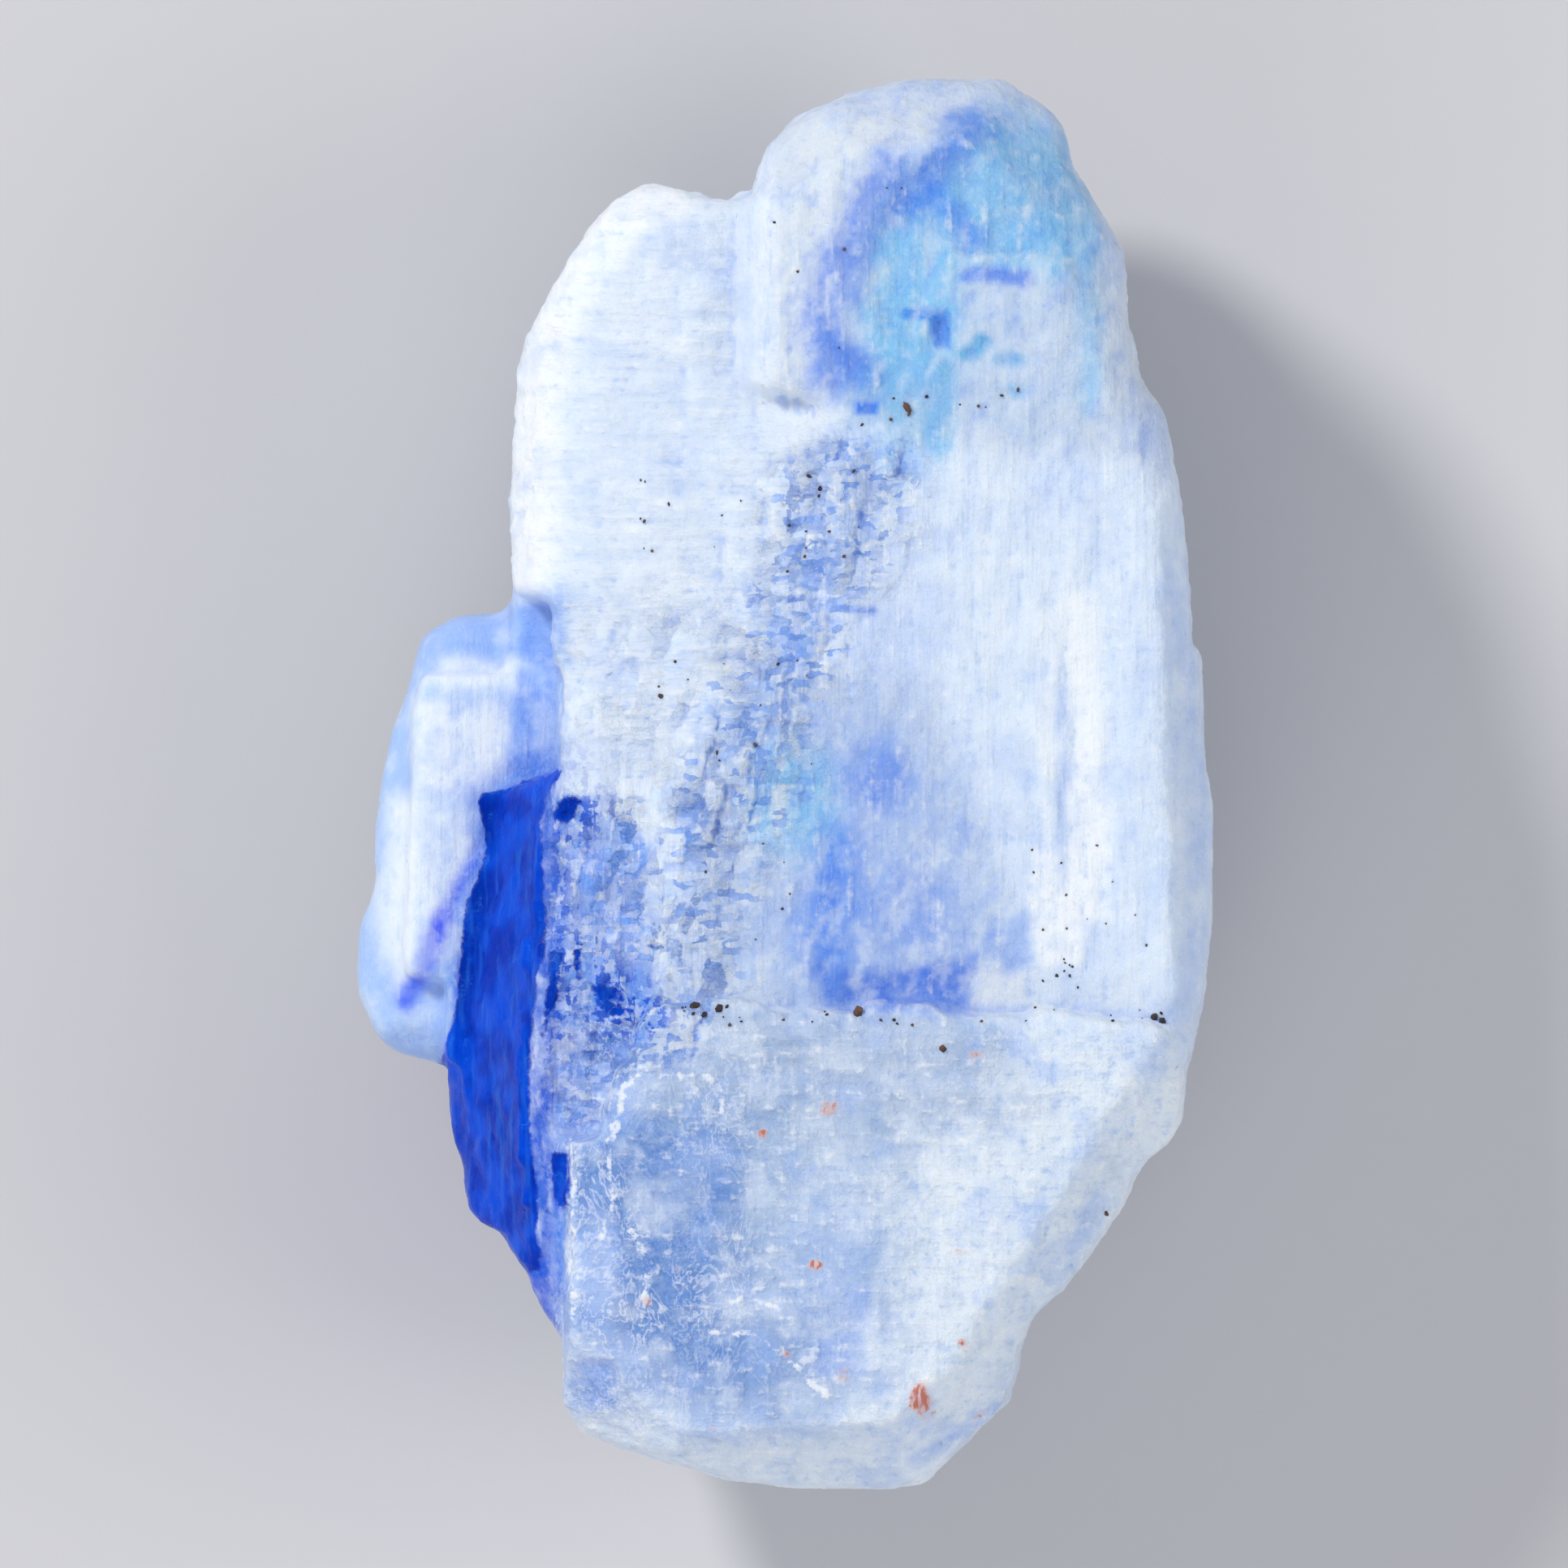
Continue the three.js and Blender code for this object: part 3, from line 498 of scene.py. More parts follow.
    Zone("hollow", BLOB, TINT.lobe_violet, 0.7, 0.4, 0.4, ((-6.8, -22.1),), reach=(0.75, 0.95)),
    Zone("tablet", AREA, TINT.lobe_violet, 0.6, 0.2, 0.12, ((2.3, -18.5), (3.1, -18.5),
         (3.05, -21.7), (1.0, -21.8), (1.2, -20.4), (2.2, -20))),
    Zone("tablet glow", BLOB, TINT.lilac, 0.4, 1.0, 0.7, ((1.6, -17.4),), reach=(1.6, 3.0)),
    Zone("veil cloud", LINE, TINT.frost, 0.6, 0.4, 0.5, ((-2.2, -18.9), (-0.2, -19.2)),
         reach=(0.5,)),
    Zone("slant streak", LINE, TINT.lilac, 0.2, 0.5, 0.4, ((13.6, -10.4), (11.4, -13.2),
         (9.2, -16)), reach=(0.4,), depth=9),
    Zone("slant streak low", LINE, TINT.lilac, 0.45, 0.4, 0.4, ((11.8, -15.4), (9.8, -18.2)),
         reach=(0.4,), depth=9),
    Zone("grey rim", LINE, TINT.lilac, 0.7, 0.2, 0.2, ((7.0, -23.2), (7.9, -23.0),
         (4.8, -25.0)), reach=(0.2,), depth=9),
    Zone("top shade", LINE, TINT.lilac, 0.35, 0.8, 1.0, ((-3.4, -10.4), (2.0, -11.4),
         (6.6, -10.6)), reach=(0.4,)),
)
COBALT_AREAS = [
    ((-8.25, 0.5), (-9.6, 0.1), (-11.25, -0.6), (-11.0, -2.4), (-11.3, -3.6), (-11.7, -4.4),
     (-11.8, -5.3), (-12.0, -6.6), (-12.2, -8.9), (-12.7, -10.2), (-12.9, -13.2),
     (-12.7, -14.4), (-11.3, -16.3), (-10.3, -16.8), (-9.8, -17.7), (-9.0, -18.2),
     (-9.05, -15.6), (-9.3, -13.6), (-9.4, -12.6), (-9.35, -9.4), (-9.1, -7.6), (-8.8, -5.4),
     (-8.85, -3.2), (-9.0, -1.6), (-8.7, -0.4)),
    ((-8.5, -0.8), (-8.0, -0.45), (-7.4, -0.55), (-7.6, -1.2), (-8.1, -1.55), (-8.5, -1.2)),
    ((-7.26, -7.3), (-6.3, -7.5), (-5.8, -8.0), (-6.8, -7.95)),
    ((-6.9, -8.1), (-6.06, -8.2), (-5.2, -8.4), (-6.3, -8.62)),
    ((-7.8, -6.2), (-7.5, -6.1), (-7.4, -7.2), (-7.7, -7.4)),
    ((-8.55, -13.6), (-7.95, -13.6), (-7.95, -15.6), (-8.4, -15.6)),
    ((-8.6, -6.2), (-8.2, -6.3), (-8.3, -8.0), (-8.9, -9.4)),
]
RUST_AREAS = [
    ((4.86, -22.02), (4.47, -22.86), (4.92, -23.28), (5.61, -23.22), (5.52, -22.68),
     (5.22, -22.2)),
    ((2.0, -21.5), (2.3, -21.6), (2.7, -22.1), (2.3, -21.9)),
    ((6.2, -8.3), (7.0, -8.35), (6.6, -8.5)),
    ((6.6, -9.7), (7.3, -9.9), (6.9, -10.0)),
    ((7.0, -23.3), (7.9, -22.9), (7.3, -23.6)),
]
RUST_SPOTS = [
    (1.17, -17.67, 0.20), (1.62, -11.97, 0.22), (1.95, -11.8, 0.1), (-0.78, -12.87, 0.14),
    (0.12, -20.97, 0.11), (6.57, -20.6, 0.2), (6.63, -21.96, 0.13), (-3.93, -17.82, 0.08),
    (-4.98, -19.08, 0.08), (6.5, -17.2, 0.1), (1.2, -23.2, 0.08), (-2.6, -23.7, 0.07),
]
VEINS = [
    ((-7.98, -10.02), (-8.1, -10.98), (-7.5, -11.46), (-6.54, -11.7), (-5.7, -10.98),
     (-5.1, -10.5)),
    ((-5.82, -10.98), (-6.06, -12.42), (-6.42, -13.86), (-6.3, -15.3), (-6.78, -16.74)),
    ((-7.86, -13.14), (-7.74, -14.82), (-7.86, -17.22), (-7.74, -19.62)),
    ((-5.28, -9.57), (-6.24, -12.24), (-6.42, -13.71)),
    ((-4.53, -10.77), (-2.97, -10.71), (-2.22, -11.28), (-2.28, -12.12)),
    ((-5.76, -16.26), (-5.28, -17.01), (-5.04, -18.33), (-5.22, -19.92)),
    ((-2.88, -20.07), (-1.08, -20.22), (-0.18, -20.82), (1.02, -22.02), (1.62, -22.47)),
    ((-2.2, -19.0), (-1.2, -18.9), (-0.1, -19.3)),
]


def lay(colour: np.ndarray, over: Colour, share: np.ndarray) -> None:
    """Lay one colour over others in place.

    Args:
        colour: The colours so far, changed in place.
        over: The colour that goes over them.
        share: How much of it, 0 to 1, for each point.
    """
    colour += (np.array(over) - colour) * share[:, None]


class Region(Enum):
    """A part of the front: where its edge starts and is full, and its outline."""

    SLAB = (-0.5, 0.8, ((-10.8, 6), (-10.4, 22), (-1.6, 22), (-1.4, 14), (2, 12), (-1, 2),
                        (-6, 1)))
    LOBE = (-0.4, 0.8, ((-8.4, 8.0), (-20, 8.0), (-20, -12), (-12.4, -11), (-11.2, -1.0),
                        (-8.4, 0.6)))
    CROWN = (-0.8, 0.8, ((-0.6, 14.6), (-0.6, 30), (20, 30), (20, 11.0), (5.0, 12.4)))
    HEART = (-1.5, 0.8, ((-1.6, 3.4), (5.0, 4.0), (7.6, -2.0), (9.4, -8.4), (-2.0, -8.4),
                         (-3.0, -4.0)))
    BAND = (-0.6, 0.6, ((-8.7, -0.4), (-5.0, -0.4), (-4.6, -9.0), (-6.6, -12.6),
                        (-8.9, -12.6)))
    SLAB_FOOT = (-1.5, 1.2, ((-8.0, 6.5), (-2.0, 7.5), (1.5, 11.5), (0.0, 3.0),
                             (-4.0, -1.5), (-8.0, 0.0)))
    FOLDS = (-0.8, 0.5, ((-1.2, 8.0), (-1.2, 23.0), (2.2, 22.0), (2.4, 15.0), (4.6, 14.6),
                         (4.0, 9.0)))

    def cover(self, at: np.ndarray) -> np.ndarray:
        """Give 1 inside the region and 0 outside, for each point."""
        low, high, corners = self.value
        return smooth_step(low, high, inside_polygon(at[:, :2], corners))


@dataclass(frozen=True)
class Relief:
    """The fine wear of the skin, in millimetres."""

    noise: Noise
    swell: float = 0.10
    worn: float = 0.085
    ripple: float = 0.05
    striae: float = 0.045
    fold: float = 0.16
    sway: float = 0.16
    lean: float = 0.18
    courses: tuple[tuple[float, float, float], ...] = (
        (1.9, 2.3, 0.13), (0.9, 1.5, 0.11), (0.55, 0.42, 0.05))
    stairs: Corners = ((3.2, 13.6), (1.4, 8.0), (-1.6, 1.0), (-4.6, -8.6))
    stairs_reach: Point = (0.9, 3.6)
    slab_corner: Point = (0.8, 14.2)

    def lattice(self, at: np.ndarray) -> tuple[np.ndarray, np.ndarray, np.ndarray]:
        """Turn points to the crystal's own axes.

        Args:
            at: Points in millimetres.

        Returns:
            The coordinates across, along and out of the front.
        """
        cosine, sine = math.cos(TURN), math.sin(TURN)
        across = at[:, 0] * cosine + at[:, 1] * sine
        along = at[:, 1] * cosine - at[:, 0] * sine
        return across, along, at[:, 2]

    def streaks(self, at: np.ndarray, cells: Colour, shift: float = 0.0, octaves: int = 2,
                gain: float = 0.5, shear: Point = (0.0, 0.0)) -> np.ndarray:
        """Give noise whose cells are stretched along the crystal's own axes.

        Args:
            at: Points in millimetres.
            cells: The size of the coarsest cells across, along and out of the front.
            shift: How far the noise is moved.
            octaves: How many octaves.
            gain: The strength of each octave as a share of the one before.
            shear: How much the first two axes lean to each other.

        Returns:
            One value for each point.
        """
        across, along, out = self.lattice(at)
        leaned = np.stack([across + shear[0] * along, along + shear[1] * across, out], axis=1)
        return self.noise.fractal(leaned / np.array(cells) + shift, octaves, gain)

    def broken(self, at: np.ndarray) -> np.ndarray:
        """Give how broken the skin is, from 0 on sound faces to 1 in the stairs.

        Args:
            at: Points in millimetres.

        Returns:
            One share for each point.
        """
        gap = distance_to_line(at[:, :2], self.stairs)
        patch = 0.7 * self.noise.plain(at / 2.4 + 8.0)
        stairs = 1.0 - smooth_step(*self.stairs_reach, gap + patch)
        stairs *= 1.0 - smooth_step(11.6, 13.8, at[:, 1])
        most = np.maximum.reduce([stairs, 0.9 * Region.BAND.cover(at),
                                  0.42 * Region.SLAB_FOOT.cover(at)])
        return np.clip(most, 0, 1) * smooth_step(9.0, 12.5, at[:, 2])

    def lower(self, at: np.ndarray) -> np.ndarray:
        """Give 1 on the lower block and 0 elsewhere, for each point."""
        below = 1.0 - smooth_step(-8.9, -8.3, self.lattice(at)[1])
        return below * smooth_step(-9.0, -7.6, at[:, 0])

    def vivid(self, at: np.ndarray) -> np.ndarray:
        """Give 1 in the clear blue crown and heart and 0 elsewhere, for each point."""
        return np.clip(Region.CROWN.cover(at) + Region.HEART.cover(at), 0.0, 1.0)

    def softness(self, at: np.ndarray) -> np.ndarray:
        """Give how much each smoothing pass moves each point, 0 to 1.

        Args:
            at: Points in millimetres.

        Returns:
            One share for each point.
        """
        corner = np.linalg.norm(at[:, :2] - self.slab_corner, axis=1)
        ledge = self.lattice(at)[1] + 8.5
        soft = np.maximum.reduce([0.75 * self.broken(at), 0.5 * Region.LOBE.cover(at),
                                  0.45 * Region.CROWN.cover(at), np.full(len(at), 0.10),
                                  0.9 - 0.9 * smooth_step(1.6, 3.4, corner),
                                  0.35 - 0.35 * smooth_step(0.5, 1.2, np.abs(ledge))])
        return soft * smooth_step(0.3, 1.5, at[:, 2])

    def height(self, at: np.ndarray) -> np.ndarray:
        """Give how far the skin is raised at each point.

        Args:
            at: Points in millimetres.

        Returns:
            One height for each point, in millimetres.
        """
        sound = 1.0 - 0.7 * Region.LOBE.cover(at)
        slab = Region.SLAB.cover(at)
        height = self.swell * self.noise.fractal(at / 4.4, 3, 0.42)
        height += self.worn * sound * self.noise.fractal(at / 1.25 + 9.0, 4, 0.6)
        height += self.ripple * slab * sound * self.streaks(at, (3.2, 0.55, 3.0))
        patchy = smooth_step(-0.3, 0.6, self.noise.plain(at / 3.1 + 12.0))
        above = smooth_step(-9.6, -8.2, self.lattice(at)[1])
        upright = (1.0 - slab) * above * sound * patchy
        height += self.striae * upright * self.streaks(at, (0.5, 6.0, 0.9), 31.0)
        crease = 1.0 - np.abs(self.streaks(at, (1.1, 9.0, 4.0), 15.0, shear=(0.1, 0.0)))
        return height + self.fold * Region.FOLDS.cover(at) * (crease * crease - 0.5)

    def chips(self, at: np.ndarray) -> np.ndarray:
        """Give how deep the cleavage chips are at each point, as seen from the front.

        Args:
            at: Points in millimetres.

        Returns:
            One depth for each point, in millimetres.
        """
        across, along, _ = self.lattice(at)
        sway = [self.sway * self.noise.fractal(at / 1.1 + shift, 2) for shift in (2.0, 57.0)]
        deep = np.zeros(len(at))
        for wide, tall, most in self.courses:
            brick, part_across, part_along = self.noise.bricks(
                (across + sway[0] - self.lean * along + 7 * wide) / wide,
                (along + sway[1] + 3 * tall) / tall)
            tilt = ((brick * 7.3 % 1.0 - 0.5) * part_across
                    + (brick * 13.1 % 1.0 - 0.5) * part_along)
            deep += most * (smooth_step(0.42, 0.48, brick) * (0.4 + brick) + 2.2 * tilt)
        return deep * self.broken(at)


@dataclass(frozen=True)
class Colouring:
    """The colour of the crystal at any point, and how near its inclusions are."""

    relief: Relief
    far: float = 9.0
    cloudy: float = 0.35

    def drift(self, at: np.ndarray) -> np.ndarray:
        """Give the wander of the zones' edges.

        Args:
            at: Points in millimetres.

        Returns:
            One row of X and Y for each point, about -1 to 1.
        """
        noise = self.relief.noise
        return np.stack([0.6 * noise.plain(at / 1.7 + slow)
                         + 0.4 * noise.fractal(at / 0.55 + fast, 2)
                         for slow, fast in ((3.1, 11.9), (41.7, 73.3))], axis=1)

    def colours(self, at: np.ndarray) -> np.ndarray:
        """Give the ground colour of each point.

        Args:
            at: Points in millimetres.

        Returns:
            One linear colour for each point.
        """
        noise, shift = self.relief.noise, self.drift(at)
        colour = np.tile(np.array(TINT.back), (len(at), 1))
        lay(colour, TINT.side, smooth_step(2.0, 11.0, at[:, 2]))
        lay(colour, TINT.slab, 0.7 * smooth_step(-0.8, 0.9, noise.fractal(at / 6.5, 3)))
        patch = 1.0 - 0.4 * smooth_step(-0.1, 0.9, noise.fractal(at / 0.8 + 21.0, 4, 0.65))
        for zone in ZONES:
            log.debug("zone %s", zone.name)
            cloudy = patch if zone.soft > self.cloudy else 1.0
            lay(colour, zone.colour, zone.cover(at, shift) * cloudy)
        self.mottle(colour, at)
        return colour

    def mottle(self, colour: np.ndarray, at: np.ndarray) -> None:
        """Lay clouds, streaks along the crystal's directions and veils on the ground colour.

        Args:
            colour: The colours so far, changed in place.
            at: Points in millimetres.
        """
        relief, noise = self.relief, self.relief.noise
        lower, vivid, slab = relief.lower(at), relief.vivid(at), Region.SLAB.cover(at)
        clouds = noise.fractal(at / 2.1 + 4.0, 5, 0.62)
        lay(colour, TINT.frost, (0.4 - 0.28 * vivid) * smooth_step(0.05, 0.8, clouds))
        lay(colour, TINT.lilac, (0.22 + 0.2 * lower) * smooth_step(-0.1, -0.8, clouds))
        patchy = smooth_step(-0.2, 0.5, noise.plain(at / 3.1 + 12.0))
        upright = (1.0 - slab) * (1.0 - 0.7 * lower) * patchy
        upright *= (1.0 - 0.8 * vivid) * (1.0 - 0.5 * Region.LOBE.cover(at))
        streak = relief.streaks(at, (0.55, 5.0, 1.2), 3.0, 3)
        lay(colour, TINT.rim, 0.30 * upright * smooth_step(0.1, 0.7, streak))
        lay(colour, TINT.lilac, 0.24 * upright * smooth_step(-0.1, -0.7, streak))
        level = relief.streaks(at, (3.0, 0.5, 2.0), 7.0, 3)
        lying = np.clip(slab + 0.5 * lower, 0.0, 1.0)
        lay(colour, TINT.rim, 0.25 * lying * smooth_step(0.1, 0.7, level))
        lay(colour, TINT.shade, 0.18 * lying * smooth_step(-0.1, -0.7, level))
        ruffled = relief.streaks(at, (0.7, 1.9, 0.9), 0.0, 4, 0.65, (-0.35, 0.35))
        lay(colour, TINT.frost, 0.38 * vivid * smooth_step(0.15, 0.8, ruffled))
        lay(colour, TINT.azure, 0.22 * vivid * smooth_step(-0.2, -0.8, ruffled))
        veiled = smooth_step(-0.25, 0.45, noise.fractal(at / 4.0 + 60.0, 2))
        lay(colour, TINT.frost, 0.22 * lower * veiled)

    def veiled(self, at: np.ndarray) -> np.ndarray:
        """Give how dense the net of fine healed cracks is at each point.

        Args:
            at: Points in millimetres.

        Returns:
            One share for each point, 0 to 1.
        """
        lower = self.relief.lower(at)
        left = 1.0 - smooth_step(-6.5, 2.0, at[:, 0])
        patch = smooth_step(-0.5, 0.5, self.relief.noise.fractal(at / 3.4 + 44.0, 2))
        return np.clip(lower * (0.35 + 0.65 * left) * (0.25 + 0.75 * patch)
                       + 0.22 * (1.0 - lower) * patch, 0.0, 1.0)

    def nearness(self, at: np.ndarray, areas: list[Corners],
                 spots: list[tuple[float, float, float]]) -> np.ndarray:
        """Measure how far inside the nearest of some areas and spots points are.

        Args:
            at: Points in millimetres.
            areas: Closed outlines.
            spots: Rows of X, Y and radius.

        Returns:
            One signed distance for each point, negative outside.
        """
        flat = at[:, :2]
        inward = [np.full(len(at), -self.far)]
        inward += [inside_polygon(flat, area) for area in areas]
        inward += [radius - np.linalg.norm(flat - (x, y), axis=1) for x, y, radius in spots]
        return np.maximum.reduce(inward)

    def cobalt(self, at: np.ndarray) -> np.ndarray:
        """Give how far inside the cobalt wedge and its chips each point is."""
        ragged = 0.12 * self.relief.noise.fractal(at / 1.3 + 50.0, 3, 0.6)
        return (self.nearness(at, COBALT_AREAS, []) + ragged
                - 2.0 * (1.0 - smooth_step(1.5, 4.0, at[:, 2])))

    def rust(self, at: np.ndarray) -> np.ndarray:
        """Give how far inside the rust inclusions each point is."""
        inward = self.nearness(at, RUST_AREAS, RUST_SPOTS)
        return inward - 4.0 * (1.0 - smooth_step(8.0, 11.0, at[:, 2]))

    def veins(self, at: np.ndarray) -> np.ndarray:
        """Give the distance to the nearest white vein.

        Args:
            at: Points in millimetres.

        Returns:
            One distance for each point.
        """
        flat = at[:, :2] + self.drift(at) * 0.16
        nearest = [np.full(len(at), self.far)]
        nearest += [distance_to_line(flat, line) for line in VEINS]
        return np.minimum.reduce(nearest) + 4.0 * (1.0 - smooth_step(8.0, 11.0, at[:, 2]))


class Links:
    """The edges between a mesh's points."""

    def __init__(self, mesh: bpy.types.Mesh) -> None:
        """Read the edges.

        Args:
            mesh: The mesh.
        """
        pairs = np.empty(len(mesh.edges) * 2, int)
        mesh.edges.foreach_get("vertices", pairs)
        self.first, self.second = pairs[0::2], pairs[1::2]
        self.points = len(mesh.vertices)
        self.count = np.maximum(np.bincount(pairs, minlength=self.points), 1)

    def mean(self, values: np.ndarray) -> np.ndarray:
        """Give each point the mean of its neighbours' values.

        Args:
            values: One value or row for each point.

        Returns:
            The means, in the same form.
        """
        rows = values.reshape(self.points, -1).T
        total = [np.bincount(self.first, row[self.second], self.points)
                 + np.bincount(self.second, row[self.first], self.points) for row in rows]
        return (np.array(total) / self.count).T.reshape(values.shape)


def vertex_vectors(rows: bpy.types.bpy_prop_collection, name: str) -> np.ndarray:
    """Read a vector of each of a mesh's rows.

    Args:
        rows: The rows, such as the vertices.
        name: The name of the vector.

    Returns:
        One row of X, Y and Z each.
    """
    values = np.empty(len(rows) * 3)
    rows.foreach_get(name, values)
    return values.reshape(-1, 3)


@dataclass
class Lump:
    """The whole crystal cluster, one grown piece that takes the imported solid's place."""

    relief: Relief
    piece: bpy.types.Object = field(init=False)
    voxel: float = 0.14
    quick_voxel: float = 0.30
    face_limit: int = 195000
    foot: Point = (0.15, 1.2)
    front: Point = (4.0, 11.0)
    edge_gain: float = 2.25
    soften_passes: int = 36
    plug_depth: float = 0.06
    pit_depth: float = 0.7
    plug_step: float = 0.22
    plug_reach: int = 4
    plug_least: float = 0.12
    plug_most: float = 5.0
    plug_half: float = 0.6
    plug_root: float = 0.6
    plug_height: float = 0.3
    thin_levels: int = 5
    thin_factor: float = 0.6

    def build(self) -> bpy.types.Object:
        """Make the lump's skin and dress it.

        Returns:
            The finished piece.
        """
        self.copy_solid()
        self.plug()
        self.remesh()
        self.soften()
        self.wear()
        self.thin()
        self.paint()
        mesh = self.piece.data
        mesh.transform(Matrix.Scale(MM, 4))
        mesh.polygons.foreach_set("use_smooth", [True] * len(mesh.polygons))
        mesh.materials.clear()
        mesh.materials.append(HaliteFinish().material)
        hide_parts(LUMP_NODE)
        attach(self.piece, "root")
        return self.piece

    def copy_solid(self) -> None:
        """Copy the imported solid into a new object, in millimetres."""
        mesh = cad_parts[LUMP_NODE].data.copy()
        mesh.transform(Matrix.Scale(1.0 / MM, 4))
        self.piece = bpy.data.objects.new("crystal_lump", mesh)
        bpy.context.scene.collection.objects.link(self.piece)

    def settle(self) -> None:
        """Apply the piece's modifiers to its mesh."""
        graph = bpy.context.evaluated_depsgraph_get()
        mesh = bpy.data.meshes.new_from_object(self.piece.evaluated_get(graph))
        self.piece.modifiers.clear()
        self.piece.data = mesh

    def move(self, at: np.ndarray) -> None:
        """Move the mesh's points.

        Args:
            at: Their new places in millimetres.
        """
        self.piece.data.vertices.foreach_set("co", at.ravel())
        self.piece.data.update()

    def plug(self) -> None:
        """Fill the narrow gaps between the solid's stairs, which the photograph shows shut."""
        tree = BVHTree.FromObject(self.piece, bpy.context.evaluated_depsgraph_get())
        step, reach = self.plug_step, self.plug_reach
        low, high = (np.array(corner) / MM for corner in CAD_BOX)
        size = np.ceil((high - low)[:2] / step).astype(int) + 2 * reach
        down = Vector((0.0, 0.0, -1.0))
        top = np.zeros(size)
        for row, column in np.ndindex(*size):
            x, y = low[:2] + (np.array([row, column]) - reach + 0.5) * step
            hit = tree.ray_cast(Vector((x, y, high[2] + 1.0)), down)
            top[row, column] = hit[0].z if hit[0] else 0.0
        closed = top
        for pick in (np.maximum, np.minimum):
            for _ in range(reach):
                for axis in (0, 1):
                    closed = pick.reduce([np.roll(closed, way, axis) for way in (-1, 0, 1)])
        rows, columns = np.nonzero((closed - top > self.plug_least)
                                   & (closed - top < self.plug_most) & (top > self.front[0]))
        middle = low[:2] + (np.stack([rows, columns], axis=1) - reach + 0.5) * step
        sunk = self.plug_depth + (self.pit_depth - self.plug_depth) * Region.CROWN.cover(middle)
        foot = top[rows, columns] - self.plug_root
        head = np.maximum(closed[rows, columns] - sunk, foot + self.plug_height)
        half = self.plug_half
        corners = np.array([(x, y, z) for x in (-half, half) for y in (-half, half)
                            for z in (0.0, 1.0)])
        points = np.empty((len(middle), 8, 3))
        points[:, :, :2] = middle[:, None] + corners[:, :2] * step
        points[:, :, 2] = foot[:, None] + corners[:, 2] * (head - foot)[:, None]
        sides = np.array([(0, 1, 3, 2), (4, 6, 7, 5), (0, 4, 5, 1), (2, 3, 7, 6), (0, 2, 6, 4),
                          (1, 5, 7, 3)])
        faces = (sides + 8 * np.arange(len(middle))[:, None, None]).reshape(-1, 4)
        plugs = bpy.data.meshes.new("plugs")
        plugs.from_pydata(points.reshape(-1, 3).tolist(), [], faces.tolist())
        shell = bmesh.new()
        for mesh in (self.piece.data, plugs):
            shell.from_mesh(mesh)
        shell.to_mesh(self.piece.data)
        shell.free()

    def remesh(self) -> None:
        """Give the piece an even fine mesh."""
        voxels = self.piece.modifiers.new("voxels", "REMESH")
        voxels.mode = "VOXEL"
        voxels.voxel_size = self.voxel
        self.settle()

    def soften(self) -> None:
        """Round off the solid's edges, most where the crystal is dissolved or finely broken."""
        at = vertex_vectors(self.piece.data.vertices, "co")
        links = Links(self.piece.data)
        share = self.relief.softness(at)[:, None]
        passes = self.soften_passes
        for _ in range(passes):
            at = at + (links.mean(at) - at) * share
        self.move(at)

    def wear(self) -> None:
        """Raise and sink the skin by its fine relief, inside the solid's own box."""
        at = vertex_vectors(self.piece.data.vertices, "co")
        normals = vertex_vectors(self.piece.data.vertex_normals, "vector")
        height = self.relief.height(at) * smooth_step(*self.foot, at[:, 2])
        chips = self.relief.chips(at) * np.clip(normals[:, 2], 0.0, 1.0)
        at = at + normals * height[:, None]
        at[:, 2] -= chips
        self.move(np.clip(at, *(np.array(CAD_BOX) / MM)))

    def thin(self) -> None:
        """Take out faces, mostly on the back, until the piece is light enough."""
        mesh = self.piece.data
        faces = sum(len(face.vertices) - 2 for face in mesh.polygons)
        if faces <= self.face_limit:
            return
        share = 1.0 - smooth_step(*self.front, vertex_vectors(mesh.vertices, "co")[:, 2])
        group = self.piece.vertex_groups.new(name="back")
        levels = self.thin_levels
        for level in range(levels):
            low, high = level / levels, (level + 1.001) / levels
            chosen = np.flatnonzero((share >= low) & (share < high))
            group.add(chosen.tolist(), (low + high) / 2.0, "REPLACE")
        less = self.piece.modifiers.new("less", "DECIMATE")
        less.ratio = self.face_limit / faces
        less.vertex_group = group.name
        less.vertex_group_factor = self.thin_factor
        less.use_collapse_triangulate = True
        self.settle()
        self.piece.vertex_groups.clear()

    def convexity(self, at: np.ndarray, normals: np.ndarray) -> np.ndarray:
        """Measure where the skin bulges and where it is hollow.

        Args:
            at: The mesh's points in millimetres.
            normals: Its normals.

        Returns:
            One value for each point: 0 in hollows, 0.5 on flats, 1 on edges.
        """
        links = Links(self.piece.data)
        first, second = links.first, links.second
        way = at[first] - at[second]
        length = np.linalg.norm(way, axis=1) + 1e-6
        total = np.bincount(first, (way * normals[first]).sum(axis=1) / length, len(at))
        total -= np.bincount(second, (way * normals[second]).sum(axis=1) / length, len(at))
        value = total / links.count
        value = 0.5 * value + 0.5 * links.mean(value)
        return np.clip(0.5 + value * self.edge_gain, 0.0, 1.0)

    def paint(self) -> None:
        """Store the colours and masks that the finish reads."""
        mesh, relief = self.piece.data, self.relief
        at = vertex_vectors(mesh.vertices, "co")
        normals = vertex_vectors(mesh.vertex_normals, "vector")
        colouring = Colouring(relief)
        broken, lower, chips = relief.broken(at), relief.lower(at), relief.chips(at)
        front = smooth_step(*self.front, at[:, 2])
        rgba = np.ones((len(at), 4))
        rgba[:, :3] = colouring.colours(at)
